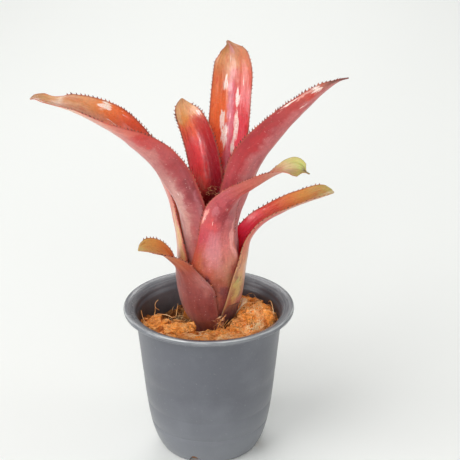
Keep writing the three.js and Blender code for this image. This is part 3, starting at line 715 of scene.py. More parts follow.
def leaf_sheet(name, leaf, path, skins):
    """Bends a grid to the leaf's path, with slight waves, and thickens it. Skins: outer, inner and horn."""
    rows, columns = round(path.length / ROW_STEP), 2 * HALF_COLUMNS
    bpy.ops.object.select_all(action="DESELECT")
    bpy.ops.mesh.primitive_grid_add(x_subdivisions=columns, y_subdivisions=rows, size=1)
    blade = bpy.context.object
    blade.name = name
    blade.data.uv_layers.active.name = "blade"
    thick = blade.vertex_groups.new(name="thickness")
    sections = [path.section(path.length * i / rows) for i in range(rows + 1)]
    seed = leaf["azimuth"] * 0.37
    for vertex in blade.data.vertices:
        j, i = round((vertex.co.x + 0.5) * columns), round((vertex.co.y + 0.5) * rows)
        edge, s = abs(j / HALF_COLUMNS - 1), path.length * i / rows
        swell = 0.3 + 0.5 * min(1, max(0, (s - path.blade_start) / 25)) * min(1, (path.length - s) / 20)
        wave = noise.noise((j * 0.17, s * 0.035, seed)) + 0.4 * noise.noise((j * 0.45, s * 0.11, seed + 5))
        swell *= min(1, sections[i][4] / 11)
        vertex.co = (sections[i][0][j] + sections[i][3] * wave * swell) * MM
        thick.add([vertex.index], 1 - 0.55 * edge ** 4, "REPLACE")
    for skin in skins:
        blade.data.materials.append(skin)
    shell = blade.modifiers.new("thickness", "SOLIDIFY")
    shell.thickness = BLADE_THICKNESS * MM
    shell.offset = 0
    shell.vertex_group = thick.name
    shell.material_offset = 1
    shell.material_offset_rim = 0
    bpy.ops.object.modifier_apply(modifier=shell.name)
    bpy.ops.object.shade_smooth_by_angle(angle=math.radians(65))
    return blade


def set_spines(name, leaf, path):
    """Sets hooked spines along both edges of a blade, each a little different in size and lean."""
    draw = random.Random(name)
    spines = []
    s = path.blade_start + leaf["spine_start"]
    while s < path.length - leaf.get("smooth_tip", 5):
        points, edges, along, inner, width = path.section(s)
        if width > NARROWEST_SPINED:
            for side, point in ((0, points[0]), (1, points[-1])):
                turned_in = inner * edges[side].dot(inner) * leaf.get("spine_lean", 0.5)
                out = (edges[side] - turned_in + along * draw.uniform(0.1, 0.45)).normalized()
                lean = out.cross(along).normalized().cross(out)
                if lean.dot(along) < 0:
                    lean.negate()
                grown = draw.uniform(0.75, 1.15) * leaf["spine_scale"]
                turn = Matrix((lean, out, lean.cross(out))).transposed().to_4x4()
                copy = bpy.data.objects.new("spine", spine.data.copy())
                copy.data.transform(Matrix.Translation(point * MM) @ turn @ Matrix.Scale(grown, 4))
                bpy.context.scene.collection.objects.link(copy)
                spines.append(copy)
        s += leaf["spine_pitch"] * draw.uniform(0.8, 1.2)
    return spines


def grow_leaf(name, leaf, outer_skin, inner_skin, node_name):
    """Makes a leaf with its spines and puts it in the CAD node's place."""
    path = LeafPath(leaf)
    blade = leaf_sheet(name, leaf, path, (outer_skin, inner_skin, spine_horn))
    spines = set_spines(name, leaf, path)
    bpy.ops.object.select_all(action="DESELECT")
    for copy in spines:
        copy.select_set(True)
    blade.select_set(True)
    bpy.context.view_layer.objects.active = blade
    if spines:
        bpy.ops.object.join()
    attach(blade, "root")
    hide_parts(node_name)


def leaf_skin(name, length, low, high=None, seam=(0.5, 0.3), keel=None, margin="#8a4a38",
              stains=(), glints=(), blotch="#8a2a30", bloom_and_sheen=0.35, roughness=(0.32, 0.5), wet=0.0):
    """Living leaf skin. Low and high are the colours from root to tip on the two halves, alike where high is
    left out, and keel is a pale waxy band (colour, half width, share). Stains are (across, along), (radii),
    colour, share, and glints, painted highlights where a film of water mirrors the room, are (across, along),
    (radii), share. Bloom and sheen is the share of pale pink painted where the skin turns from the eye."""
    made, tree = new_material(name)
    uv = add_node(tree, "UVMap", uv_map="blade")
    in_mm = add_node(tree, "Mapping", {0: uv, 3: (34.0, length, 1.0)})
    warp = add_node(tree, "TexNoise", {"Vector": in_mm, "Scale": 0.1, "Detail": 4.0, "Roughness": 0.6})
    shift = add_node(tree, "VectorMath", {0: warp.outputs["Color"], 1: (0.5, 0.5, 0.5)},
                     operation="SUBTRACT")
    scaled = add_node(tree, "VectorMath", {0: shift, 1: (0.34, 0.12, 0)}, operation="MULTIPLY")
    bent = add_node(tree, "VectorMath", {0: uv, 1: scaled}, operation="ADD")
    split = add_node(tree, "SeparateXYZ", {0: bent})
    across, along = split.outputs[0], split.outputs[1]
    true_split = add_node(tree, "SeparateXYZ", {0: uv})

    low_tone = add_node(tree, "ValToRGB", {0: along}, stops=low)
    high_tone = add_node(tree, "ValToRGB", {0: along}, stops=high or low)
    half = add_node(tree, "MapRange", {0: across, 1: seam[0] - seam[1] / 2, 2: seam[0] + seam[1] / 2},
                    interpolation_type="SMOOTHSTEP")
    colour = add_node(tree, "Mix", {0: half, 6: low_tone, 7: high_tone}, data_type="RGBA").outputs[2]

    if keel:
        code, reach, share = keel
        from_keel = add_node(tree, "Math", {0: across, 1: 0.5}, operation="SUBTRACT")
        off_keel = add_node(tree, "Math", {0: from_keel}, operation="ABSOLUTE")
        band = add_node(tree, "MapRange", {0: off_keel, 1: reach, 2: reach * 0.45, 3: 0.0, 4: share},
                        interpolation_type="SMOOTHSTEP")
        colour = add_node(tree, "Mix", {0: band, 6: colour, 7: linear(code)}, data_type="RGBA").outputs[2]

    drawn_out = add_node(tree, "Mapping", {0: in_mm, 3: (1.0, 0.36, 1.0)})
    patches = add_node(tree, "TexNoise", {"Vector": drawn_out, "Scale": 0.17, "Detail": 4.0,
                                          "Roughness": 0.6})
    patch_share = add_node(tree, "MapRange", {0: patches, 1: 0.5, 2: 0.68, 3: 0.0, 4: 0.42},
                           interpolation_type="SMOOTHSTEP")
    colour = add_node(tree, "Mix", {0: patch_share, 6: colour, 7: linear(blotch)},
                      data_type="RGBA").outputs[2]

    for (u, v), (ru, rv), code, share in stains:
        away = add_node(tree, "VectorMath", {0: bent, 1: (u, v, 0)}, operation="SUBTRACT")
        fitted = add_node(tree, "VectorMath", {0: away, 1: (1 / ru, 1 / rv, 0)}, operation="MULTIPLY")
        reach = add_node(tree, "VectorMath", {0: fitted}, operation="LENGTH")
        cover = add_node(tree, "MapRange", {0: reach.outputs["Value"], 1: 1.0, 2: 0.35, 3: 0.0, 4: share},
                         interpolation_type="SMOOTHSTEP")
        colour = add_node(tree, "Mix", {0: cover, 6: colour, 7: linear(code)}, data_type="RGBA").outputs[2]

    # Fine mottling, faint veins and scattered pale scales, then the horny edge.
    mottle = add_node(tree, "TexNoise", {"Vector": in_mm, "Scale": 0.5, "Detail": 6.0, "Roughness": 0.7})
    light = add_node(tree, "MapRange", {0: mottle, 1: 0.3, 2: 0.7, 3: 0.84, 4: 1.14})
    colour = add_node(tree, "VectorMath", {0: colour, 1: light}, operation="MULTIPLY")
    fine = add_node(tree, "Mapping", {0: in_mm, 3: (1.0, 0.05, 1.0)})
    veins = add_node(tree, "TexNoise", {"Vector": fine, "Scale": 1.1, "Detail": 3.0})
    vein_light = add_node(tree, "MapRange", {0: veins, 1: 0.35, 2: 0.7, 3: 0.95, 4: 1.07})
    colour = add_node(tree, "VectorMath", {0: colour, 1: vein_light}, operation="MULTIPLY")
    specks = add_node(tree, "TexVoronoi", {"Vector": in_mm, "Scale": 0.5}).outputs["Distance"]
    speck_share = add_node(tree, "MapRange", {0: specks, 1: 0.04, 2: 0.16, 3: 0.4, 4: 0.0})
    colour = add_node(tree, "Mix", {0: speck_share, 6: colour, 7: linear("#e6c8ba")},
                      data_type="RGBA").outputs[2]
    from_middle = add_node(tree, "Math", {0: true_split.outputs[0], 1: 0.5}, operation="SUBTRACT")
    to_edge = add_node(tree, "Math", {0: from_middle}, operation="ABSOLUTE")
    rim_share = add_node(tree, "MapRange", {0: to_edge, 1: 0.455, 2: 0.495, 3: 0.0, 4: 0.8})
    colour = add_node(tree, "Mix", {0: rim_share, 6: colour, 7: linear(margin)}, data_type="RGBA").outputs[2]

    # Grey-pink bloom and painted sheen: pale pink painted where the skin turns away from the eye, partly the
    # thin bloom and partly the sheen of light at grazing angles.
    slant = add_node(tree, "LayerWeight", {"Blend": 0.32}).outputs["Facing"]
    bloom_and_sheen_share = add_node(tree, "MapRange", {0: slant, 1: 0.25, 2: 0.95, 3: 0.0, 4: bloom_and_sheen})
    colour = add_node(tree, "Mix", {0: bloom_and_sheen_share, 6: colour, 7: linear("#ecd2cc")},
                      data_type="RGBA").outputs[2]

    # Painted highlights: pale torn streaks along the blade over the glints' places, where a film of water
    # mirrors the room.
    painted_glint_mask = None
    for (u, v), (ru, rv), share in glints:
        away = add_node(tree, "VectorMath", {0: uv, 1: (u, v, 0)}, operation="SUBTRACT")
        fitted = add_node(tree, "VectorMath", {0: away, 1: (1 / ru, 1 / rv, 0)}, operation="MULTIPLY")
        reach = add_node(tree, "VectorMath", {0: fitted}, operation="LENGTH")
        cover = add_node(tree, "MapRange", {0: reach.outputs["Value"], 1: 1.0, 2: 0.25, 3: 0.0, 4: share},
                         interpolation_type="SMOOTHSTEP")
        painted_glint_mask = add_node(tree, "Math", {0: painted_glint_mask, 1: cover}, operation="MAXIMUM").outputs[0] if painted_glint_mask else cover
    if painted_glint_mask:
        run = add_node(tree, "Mapping", {0: in_mm, 3: (1.0, 0.17, 1.0)})
        torn = add_node(tree, "TexNoise", {"Vector": run, "Scale": 0.5, "Detail": 6.0, "Roughness": 0.65,
                                           "Distortion": 0.8})
        whole = add_node(tree, "MapRange", {0: torn, 1: 0.33, 2: 0.67, 3: -1.0, 4: 0.0})
        over = add_node(tree, "Math", {0: whole, 1: painted_glint_mask}, operation="ADD")
        painted_glint_share = add_node(tree, "MapRange", {0: over, 1: 0.0, 2: 0.34, 3: 0.0, 4: 0.88},
                              interpolation_type="SMOOTHSTEP")
        speckle = add_node(tree, "TexNoise", {"Vector": in_mm, "Scale": 1.5, "Detail": 3.0})
        thinned = add_node(tree, "MapRange", {0: speckle, 1: 0.34, 2: 0.52, 3: 0.45, 4: 1.0})
        painted_glint_cover = add_node(tree, "Math", {0: painted_glint_share, 1: thinned}, operation="MULTIPLY")
        colour = add_node(tree, "Mix", {0: painted_glint_cover, 6: colour, 7: linear("#fbeee6")},
                          data_type="RGBA").outputs[2]

    folds = add_node(tree, "Mapping", {0: in_mm, 3: (1.0, 0.12, 1.0)})
    ridges = add_node(tree, "TexNoise", {"Vector": folds, "Scale": 0.28, "Detail": 2.0})
    ridge_bump = add_node(tree, "Bump", {"Strength": 0.5, "Distance": 0.0014, "Height": ridges})
    vein_bump = add_node(tree, "Bump", {"Strength": 0.2, "Distance": 0.0002, "Height": veins,
                                        "Normal": ridge_bump})
    gloss = add_node(tree, "MapRange", {0: patches, 1: 0.35, 2: 0.65, 3: roughness[1], 4: roughness[0]})
    shader = add_node(tree, "BsdfPrincipled", {
        "Base Color": colour, "Roughness": gloss, "IOR": 1.46, "Normal": vein_bump,
        "Coat Weight": wet, "Coat Roughness": 0.1, "Subsurface Weight": 0.3,
        "Subsurface Radius": (0.004, 0.0012, 0.0008), "Subsurface Scale": 1.0})
    add_node(tree, "OutputMaterial", {"Surface": shader})
    return made


# A leaf's values are its azimuth, its rank from the outside, the height of its sheath and how far that turns
# to each side at its root and top, where its spines start and how they stand, and the blade's rows: azimuth,
# radius, height above the foot, half width, edge angle, roll and skew, in millimetres and degrees.
SHORT_LEAF = {
    "azimuth": -140, "rank": 0, "sheath_top": 40, "sheath_turn": (70, 53),
    "spine_start": -6, "spine_pitch": 2.8, "spine_scale": 0.9, "spine_lean": -0.8,
    "blade": [
        (-140, 28.4, 51, 13.4, 50, 0), (-140, 35.6, 60, 12, 48, -10), (-140, 44, 68, 10.8, 42, -20),
        (-140, 53, 73, 8.8, 34, -22, -0.05), (-140, 58, 75, 5, 25, -20, -0.1),
        (-140, 60.8, 75.4, 2, 15, -20, -0.1), (-140, 62.2, 75.5, 0.6, 15, -20)],
}
# Old and shaded, so its green shows through: dull plum at the foot, rust at the bend, olive at the tip.
short_outer = leaf_skin(
    "dull_plum_leaf_skin", 97,
    low=[(0.0, "#82483e"), (0.12, "#90504a"), (0.25, "#8a423c"), (0.4, "#86403c"), (0.55, "#94483e"),
         (0.68, "#b46038"), (0.8, "#bc743c"), (0.9, "#bd884e"), (1.0, "#a99a5c")],
    high=[(0.0, "#82483e"), (0.12, "#884842"), (0.25, "#823e3a"), (0.4, "#86403c"), (0.55, "#984a40"),
          (0.68, "#b25c3a"), (0.8, "#bc743c"), (0.9, "#bd884e"), (1.0, "#a99a5c")],
    margin="#8c5046", blotch="#5c2428", bloom_and_sheen=0.2, roughness=(0.36, 0.52),
    stains=[((0.88, 0.45), (0.14, 0.1), "#b06a60", 0.4), ((0.2, 0.28), (0.2, 0.05), "#b87868", 0.5),
            ((0.4, 0.36), (0.2, 0.08), "#a0584e", 0.5), ((0.75, 0.1), (0.3, 0.08), "#8c4834", 0.6)])
short_inner = leaf_skin(
    "amber_leaf_skin", 97,
    low=[(0.3, "#b04a34"), (0.6, "#d87434"), (0.7, "#e08838"), (0.82, "#d09044"), (0.92, "#c49c52"),
         (1.0, "#bcaa66")],
    margin="#7c4a2c", blotch="#b05420", bloom_and_sheen=0.12, roughness=(0.25, 0.4), wet=0.15)
grow_leaf("short_front_leaf", SHORT_LEAF, short_outer, short_inner, "leaf_front_left_short")

# The low leaf at the right: its channel faces the viewer, crimson where it leaves the cup and going through
# orange to olive at the tip. Its sheath's front edge has bleached to cream and olive.
LOW_RIGHT_LEAF = {
    "azimuth": 16, "rank": 1, "sheath_top": 54, "sheath_turn": (95, 61.5),
    "spine_start": 0, "spine_pitch": 3.2, "spine_scale": 0.72, "spine_lean": 0.3,
    "blade": [
        (17, 28.7, 65, 15, 61, 0), (18, 38.5, 74.5, 10.8, 64, 7), (18, 55, 82, 9.7, 62, 13),
        (18, 70, 86.5, 9, 58, 15), (18, 81, 89, 8.6, 50, 15), (18, 87.5, 90.6, 6.4, 36, 13),
        (18, 90.3, 91.2, 2.4, 15, 10)],
}
low_right_outer = leaf_skin(
    "rose_leaf_skin_bleached", 134,
    low=[(0.0, "#a85848"), (0.15, "#b4604a"), (0.22, "#bc704c"), (0.3, "#cc8e58"), (0.38, "#d49468"),
         (0.45, "#cc745c"), (0.55, "#c4544c"), (0.67, "#c0584c"), (0.76, "#bb6c52"), (0.88, "#b87c54"),
         (1.0, "#a89a58")],
    high=[(0.0, "#a05048"), (0.15, "#a8504a"), (0.3, "#c06a60"), (0.45, "#c26460"), (0.67, "#c0605c"),
          (0.88, "#b87c64"), (1.0, "#a89a58")],
    margin="#b88a60", bloom_and_sheen=0.32,
    stains=[((0.12, 0.27), (0.12, 0.12), "#c8ac62", 0.7), ((0.24, 0.34), (0.1, 0.1), "#dca47c", 0.6),
            ((0.04, 0.35), (0.035, 0.1), "#6b4038", 0.6), ((0.05, 0.22), (0.06, 0.06), "#8a4440", 0.6),
            ((0.2, 0.18), (0.12, 0.05), "#b45444", 0.7), ((0.14, 0.31), (0.03, 0.03), "#7a4a44", 0.6),
            ((0.18, 0.24), (0.02, 0.03), "#8a5044", 0.5), ((0.08, 0.3), (0.03, 0.04), "#a4b070", 0.5)])
# Painted light: the crimson at the channel's foot is brighter than the leaf's own, for light shining through.
low_right_inner = leaf_skin(
    "crimson_to_olive_leaf_skin", 134,
    low=[(0.3, "#d81c38"), (0.45, "#f02c50"), (0.53, "#f03c54"), (0.6, "#e84c4c"), (0.68, "#e06848"),
         (0.76, "#de8444"), (0.83, "#d49448"), (0.91, "#c49c58"), (1.0, "#b4aa60")],
    high=[(0.3, "#e0203c"), (0.45, "#f83058"), (0.53, "#f84460"), (0.6, "#ec5854"), (0.68, "#e46c50"),
          (0.76, "#de8448"), (0.83, "#d8984e"), (0.91, "#c8a060"), (1.0, "#b4aa60")],
    margin="#8a4a34", blotch="#d04030", bloom_and_sheen=0.1, roughness=(0.25, 0.42), wet=0.2,
    glints=[((0.88, 0.62), (0.06, 0.05), 0.4), ((0.9, 0.82), (0.1, 0.03), 0.25)])
grow_leaf("low_right_leaf", LOW_RIGHT_LEAF, low_right_outer, low_right_inner, "leaf_right_low")

# The back left leaf: it stands behind the long one, so its outer face and one toothed edge show. The outer
# face is salmon pink, with a cream and olive edge scored by fine red lines.
BACK_LEFT_LEAF = {
    "azimuth": 152, "rank": 2, "sheath_top": 64, "sheath_turn": (105, 70),
    "spine_start": -8, "spine_pitch": 2.5, "spine_scale": 0.8,
    "blade": [
        (152, 27, 76, 18.3, 63, 0, 0.04), (151, 35, 98, 16, 57, 2, 0.05),
        (150, 45.5, 114, 13.5, 58, 3, 0.03), (149, 58, 126, 11, 55, 0),
        (148, 72, 133, 8.5, 45, 0), (148, 82, 137, 5.5, 30, 0),
        (148, 86, 138.5, 1.2, 15, 0), (148, 88, 139, 0.5, 15, 0)],
}
back_left_outer = leaf_skin(
    "salmon_leaf_skin", 165,
    low=[(0.0, "#ac5c4c"), (0.25, "#c88468"), (0.4, "#cc7468"), (0.55, "#c8645c"), (0.75, "#c87058"),
         (1.0, "#c09060")],
    high=[(0.0, "#ac5c4c"), (0.25, "#cc8c68"), (0.4, "#cc7a68"), (0.55, "#cc7062"), (0.75, "#c87058"),
          (1.0, "#c09060")],
    keel=("#cc9488", 0.2, 0.3), margin="#a8443c", blotch="#c04c48", bloom_and_sheen=0.3,
    stains=[((0.9, 0.36), (0.12, 0.2), "#d8ae78", 0.8), ((0.56, 0.27), (0.2, 0.1), "#dca884", 0.6)])
# Painted light: the inner face is far paler than its own orange, for light shining through the leaf.
back_left_inner = leaf_skin(
    "orange_leaf_skin", 165,
    low=[(0.3, "#e4a070"), (0.45, "#f0a47c"), (0.6, "#e87c58"), (0.8, "#c87444"), (1.0, "#b8905c")],
    high=[(0.3, "#ecb480"), (0.45, "#f4b488"), (0.6, "#ee8868"), (0.8, "#c87848"), (1.0, "#b8905c")],
    margin="#b0483c", blotch="#d05c44", bloom_and_sheen=0.3, roughness=(0.25, 0.42), wet=0.2,
    stains=[((0.1, 0.4), (0.05, 0.25), "#c44c3c", 0.6)])
grow_leaf("back_left_leaf", BACK_LEFT_LEAF, back_left_outer, back_left_inner, "leaf_back_left")

# The front leaf: it rises in front of all the others and bends over to the right, where it narrows to a neck
# and ends in a small yellow-green spoon with a dark point. A greyish bloom lies along its back.
FRONT_LEAF = {
    "azimuth": -80, "rank": 3, "sheath_top": 72, "sheath_turn": (85, 36),
    "spine_start": 6, "spine_pitch": 2.3, "spine_scale": 0.75, "smooth_tip": 21,
    "blade": [
        (-74, 26, 93, 13.5, 60, -10), (-65, 36, 107, 9.6, 70, -18), (-57, 48, 117.8, 7.4, 64, -10),
        (-50, 57, 126, 7, 50, 4), (-45.5, 63.5, 131, 7.4, 38, 22), (-42.5, 68.2, 133, 8, 32, 32),
        (-41, 71.8, 133.4, 7.4, 30, 40), (-40, 75, 133, 5, 20, 40), (-40, 77, 132.4, 1.1, 15, 40),
        (-40, 80.5, 131.6, 0.5, 15, 40)],
}
front_outer = leaf_skin(
    "rose_leaf_skin_bloomed", 164,
    low=[(0.0, "#8c4c40"), (0.12, "#b0604c"), (0.23, "#ac5440"), (0.33, "#b8543f"), (0.41, "#bc4450"),
         (0.5, "#b84a4c"), (0.6, "#a44248"), (0.7, "#a64840"), (0.78, "#ae5a4a"), (0.86, "#b87862"),
         (0.91, "#b88a70"), (0.95, "#b4a468"), (0.98, "#a8a05c"), (1.0, "#5a4030")],
    high=[(0.0, "#8c4c42"), (0.12, "#a4584e"), (0.22, "#a8624a"), (0.3, "#c47862"), (0.4, "#cc6c68"),
          (0.48, "#a84a4c"), (0.54, "#983034"), (0.64, "#a83c40"), (0.74, "#b4564e"), (0.86, "#bc7c64"),
          (0.9, "#bc8c74"), (0.94, "#b8a870"), (0.98, "#a8a45c"), (1.0, "#5a4030")],
    margin="#b0503c", blotch="#8e3438", bloom_and_sheen=0.24, roughness=(0.32, 0.46),
    # Painted highlights: pale pinks at (0.9, 0.4) and (0.08, 0.505); painted crease shade: the #7c2430 lines.
    stains=[((0.42, 0.37), (0.26, 0.11), "#cc8084", 0.7), ((0.55, 0.29), (0.12, 0.06), "#bc7268", 0.5),
            ((0.45, 0.2), (0.25, 0.05), "#9a483c", 0.5), ((0.36, 0.235), (0.07, 0.035), "#6c3640", 0.75),
            ((0.62, 0.17), (0.1, 0.04), "#743a40", 0.7), ((0.7, 0.23), (0.1, 0.06), "#b07c58", 0.6),
            ((0.9, 0.4), (0.09, 0.12), "#e89890", 0.8), ((0.08, 0.505), (0.07, 0.04), "#ea9a8e", 0.8),
            ((0.55, 0.53), (0.3, 0.045), "#8c2c34", 0.75), ((0.3, 0.54), (0.16, 0.03), "#b06870", 0.6),
            ((0.3, 0.475), (0.16, 0.035), "#cc4c4c", 0.6), ((0.16, 0.3), (0.1, 0.06), "#b45c3c", 0.6),
            ((0.3, 0.57), (0.2, 0.012), "#7c2430", 0.6), ((0.5, 0.6), (0.22, 0.012), "#7c2430", 0.5),
            ((0.7, 0.5), (0.1, 0.04), "#c06468", 0.5)],
    glints=[((0.1, 0.505), (0.08, 0.03), 0.5), ((0.5, 0.575), (0.2, 0.015), 0.4),
            ((0.3, 0.49), (0.1, 0.015), 0.35), ((0.45, 0.64), (0.2, 0.02), 0.35)])
front_inner = leaf_skin(
    "orange_to_lime_leaf_skin", 164,
    low=[(0.4, "#b83034"), (0.6, "#c4503c"), (0.75, "#c86c48"), (0.84, "#b87860"), (0.89, "#b88e70"),
         (0.96, "#a8a25a"), (1.0, "#5a4030")],
    high=[(0.4, "#b83034"), (0.6, "#c4503c"), (0.75, "#c86c48"), (0.84, "#b87860"), (0.89, "#c0a478"),
          (0.96, "#a6ac58"), (1.0, "#5a4030")],
    margin="#7c7844", blotch="#b8a058", bloom_and_sheen=0.15, roughness=(0.3, 0.45), wet=0.1)
grow_leaf("front_leaf", FRONT_LEAF, front_outer, front_inner, "leaf_front")

# The long leaf at the left: it arches far out, rolls over on its side so that the orange inner face shows
# beyond the bend, and pinches to a pale neck before a tan tip. A whitish keel runs up its back.
LONG_LEFT_LEAF = {
    "azimuth": -158, "rank": 4, "sheath_top": 74, "sheath_turn": (100, 74),
    "spine_start": 0, "spine_pitch": 2.3, "spine_scale": 0.75, "smooth_tip": 22,
    "blade": [
        (-160, 24, 95, 20.4, 77, 9), (-162, 36, 117, 20.6, 81, 18), (-163, 53, 138, 19, 77, -2),
        (-163, 74, 156, 16.2, 70, -29), (-163.5, 92, 167.5, 10, 62, -32),
        (-163.5, 98, 169.8, 6.6, 55, -32), (-164, 104, 172, 4.6, 38, -30),
        (-164.5, 110, 174, 4.8, 30, -25, -0.1), (-165, 114, 175.3, 2.6, 20, -20, -0.2),
        (-165, 117, 174.8, 0.5, 15, 0)],
}
long_left_outer = leaf_skin(
    "dusty_rose_leaf_skin", 216,
    low=[(0.0, "#9c5048"), (0.2, "#b88068"), (0.34, "#ac746a"), (0.45, "#a4625e"), (0.6, "#a8665e"),
         (0.75, "#b87064"), (0.88, "#d0a084"), (0.94, "#d0b090"), (1.0, "#a88860")],
    high=[(0.0, "#9c5048"), (0.2, "#a85450"), (0.33, "#a04c4c"), (0.42, "#943e42"), (0.5, "#943c40"),
          (0.58, "#ac5050"), (0.66, "#b84a46"), (0.75, "#c87460"), (0.86, "#d09c80"), (0.94, "#d0b090"),
          (1.0, "#a88860")],
    keel=("#b88680", 0.3, 0.6), margin="#b04438", blotch="#8c3038", bloom_and_sheen=0.3,
    stains=[((0.86, 0.45), (0.13, 0.05), "#7c2228", 0.75), ((0.8, 0.5), (0.12, 0.04), "#983438", 0.6),
            ((0.93, 0.425), (0.07, 0.02), "#a85860", 0.6), ((0.98, 0.4), (0.08, 0.05), "#842428", 0.7),
            ((0.6, 0.42), (0.12, 0.1), "#c09a92", 0.6), ((0.62, 0.36), (0.1, 0.08), "#c49488", 0.5),
            ((0.9, 0.67), (0.12, 0.035), "#b43834", 0.7), ((0.7, 0.6), (0.14, 0.06), "#b87c76", 0.6)],
    glints=[((0.64, 0.47), (0.03, 0.06), 0.35), ((0.75, 0.72), (0.05, 0.05), 0.35)])
long_left_inner = leaf_skin(
    "flame_orange_leaf_skin", 216,
    low=[(0.3, "#b83030"), (0.5, "#cc442c"), (0.62, "#dc502a"), (0.69, "#e8602c"), (0.76, "#e47a38"),
         (0.81, "#d48a50"), (0.87, "#d09868"), (0.905, "#d0a080"), (0.925, "#dcc0a8"), (0.95, "#cc9c6c"),
         (1.0, "#a8805a")],
    high=[(0.3, "#b83030"), (0.5, "#cc442c"), (0.62, "#dc5830"), (0.69, "#e07448"), (0.76, "#dc8c68"),
          (0.81, "#d4987c"), (0.87, "#d4a688"), (0.905, "#d8ae94"), (0.925, "#e0c8b8"), (0.95, "#cc9c6c"),
          (1.0, "#a8805a")],
    seam=(0.34, 0.24), margin="#9a4430", blotch="#c8501e", bloom_and_sheen=0.1, roughness=(0.2, 0.38), wet=0.4,
    glints=[((0.12, 0.79), (0.18, 0.035), 0.95), ((0.06, 0.715), (0.06, 0.04), 0.6),
            ((0.34, 0.73), (0.08, 0.08), 0.45), ((0.2, 0.915), (0.2, 0.03), 0.45)])
grow_leaf("long_left_leaf", LONG_LEFT_LEAF, long_left_outer, long_left_inner, "leaf_left_long")

# The upper right leaf: a deep channel seen from outside and below, red along its upper edge, with a broad
# greyish pink band on the keel, partly a painted reflection of the pale sheet below. Its tip draws out to a
# dry dark point.
UPPER_RIGHT_LEAF = {
    "azimuth": -12, "rank": 5, "sheath_top": 78, "sheath_turn": (105, 70),
    "spine_start": 0, "spine_pitch": 2.2, "spine_scale": 0.9,
    "blade": [
        (-12, 23, 99, 18.6, 73, -33), (-12, 32.3, 122.7, 18.4, 73, -40, -0.05),
        (-12, 49.2, 146.3, 14.4, 70, -37, -0.06), (-12, 68, 167.9, 10.6, 58, -27),
        (-12, 78.7, 178, 7.4, 45, -18), (-12, 85, 182.6, 3, 30, -8), (-12, 90, 184.5, 0.5, 15, 0)],
}
upper_right_outer = leaf_skin(
    "red_leaf_skin_pink_keel", 200,
    low=[(0.0, "#9c4444"), (0.3, "#b84448"), (0.5, "#b03c42"), (0.6, "#9c2228"), (0.7, "#94282c"),
         (0.8, "#a43a36"), (0.88, "#b4584a"), (0.94, "#a86858"), (0.965, "#7a5044"), (0.985, "#2a1c1a")],
    high=[(0.0, "#9c4444"), (0.3, "#b84850"), (0.5, "#ac464a"), (0.65, "#a04c4e"), (0.8, "#ac5a56"),
          (0.94, "#a86858"), (0.965, "#7a5044"), (0.985, "#2a1c1a")],
    # Keel band: partly a painted reflection of the sheet. Pale stain at (0.08, 0.86): a painted highlight.
    keel=("#b06666", 0.27, 0.9), margin="#a04436", blotch="#84202a", bloom_and_sheen=0.26,
    stains=[((0.2, 0.62), (0.1, 0.12), "#a82428", 0.6), ((0.12, 0.68), (0.06, 0.06), "#843028", 0.5),
            ((0.3, 0.53), (0.1, 0.06), "#bc5c5c", 0.5), ((0.22, 0.87), (0.1, 0.025), "#b83a30", 0.7),
            ((0.08, 0.86), (0.05, 0.06), "#e0b0a4", 0.6)],
    glints=[((0.05, 0.79), (0.05, 0.1), 0.75), ((0.14, 0.9), (0.2, 0.035), 0.95),
            ((0.34, 0.84), (0.06, 0.04), 0.55)])
upper_right_inner = leaf_skin(
    "scarlet_leaf_skin", 200,
    low=[(0.3, "#8c1420"), (0.5, "#b0202a"), (0.7, "#c03832"), (0.85, "#c8604e"), (0.95, "#b87858"),
         (0.985, "#2a1c1a")],
    margin="#8a3a30", bloom_and_sheen=0.15, roughness=(0.2, 0.38), wet=0.4)
grow_leaf("upper_right_leaf", UPPER_RIGHT_LEAF, upper_right_outer, upper_right_inner, "leaf_right_upper")

# The tall back leaf: the longest upright one, whose wet channel faces the viewer. Its left half is orange
# and its right half red, both going to tan at the blunt, slanting tip.
TALL_LEAF = {
    "azimuth": 62, "rank": 6, "sheath_top": 74, "sheath_turn": (110, 85),
    "spine_start": 0, "spine_pitch": 2.6, "spine_scale": 0.55,
    "blade": [
        (61, 19, 98, 18.5, 62, 8), (60, 23.5, 122, 17.5, 52, 18), (59, 26.5, 145, 16.2, 45, 22),
        (59, 29, 164, 15.3, 38, 22), (59.5, 31.3, 177, 14.4, 32, 22), (61, 31.7, 186.5, 12.4, 26, 22),
        (62, 31, 192.5, 8.6, 20, 22, -0.06), (64, 29.9, 196.5, 3.6, 15, 22, 0.4),
        (67, 28.9, 198.7, 0.6, 15, 22)],
}
tall_outer = leaf_skin(
    "coral_leaf_skin", 187,
    low=[(0.0, "#9c4844"), (0.3, "#b04448"), (0.55, "#bc5052"), (0.8, "#c06858"), (1.0, "#b0885a")],
    high=[(0.0, "#9c4844"), (0.3, "#b04448"), (0.55, "#bc584c"), (0.8, "#c47450"), (1.0, "#b0885a")],
    keel=("#cc9c96", 0.2, 0.5), margin="#8a4a38")
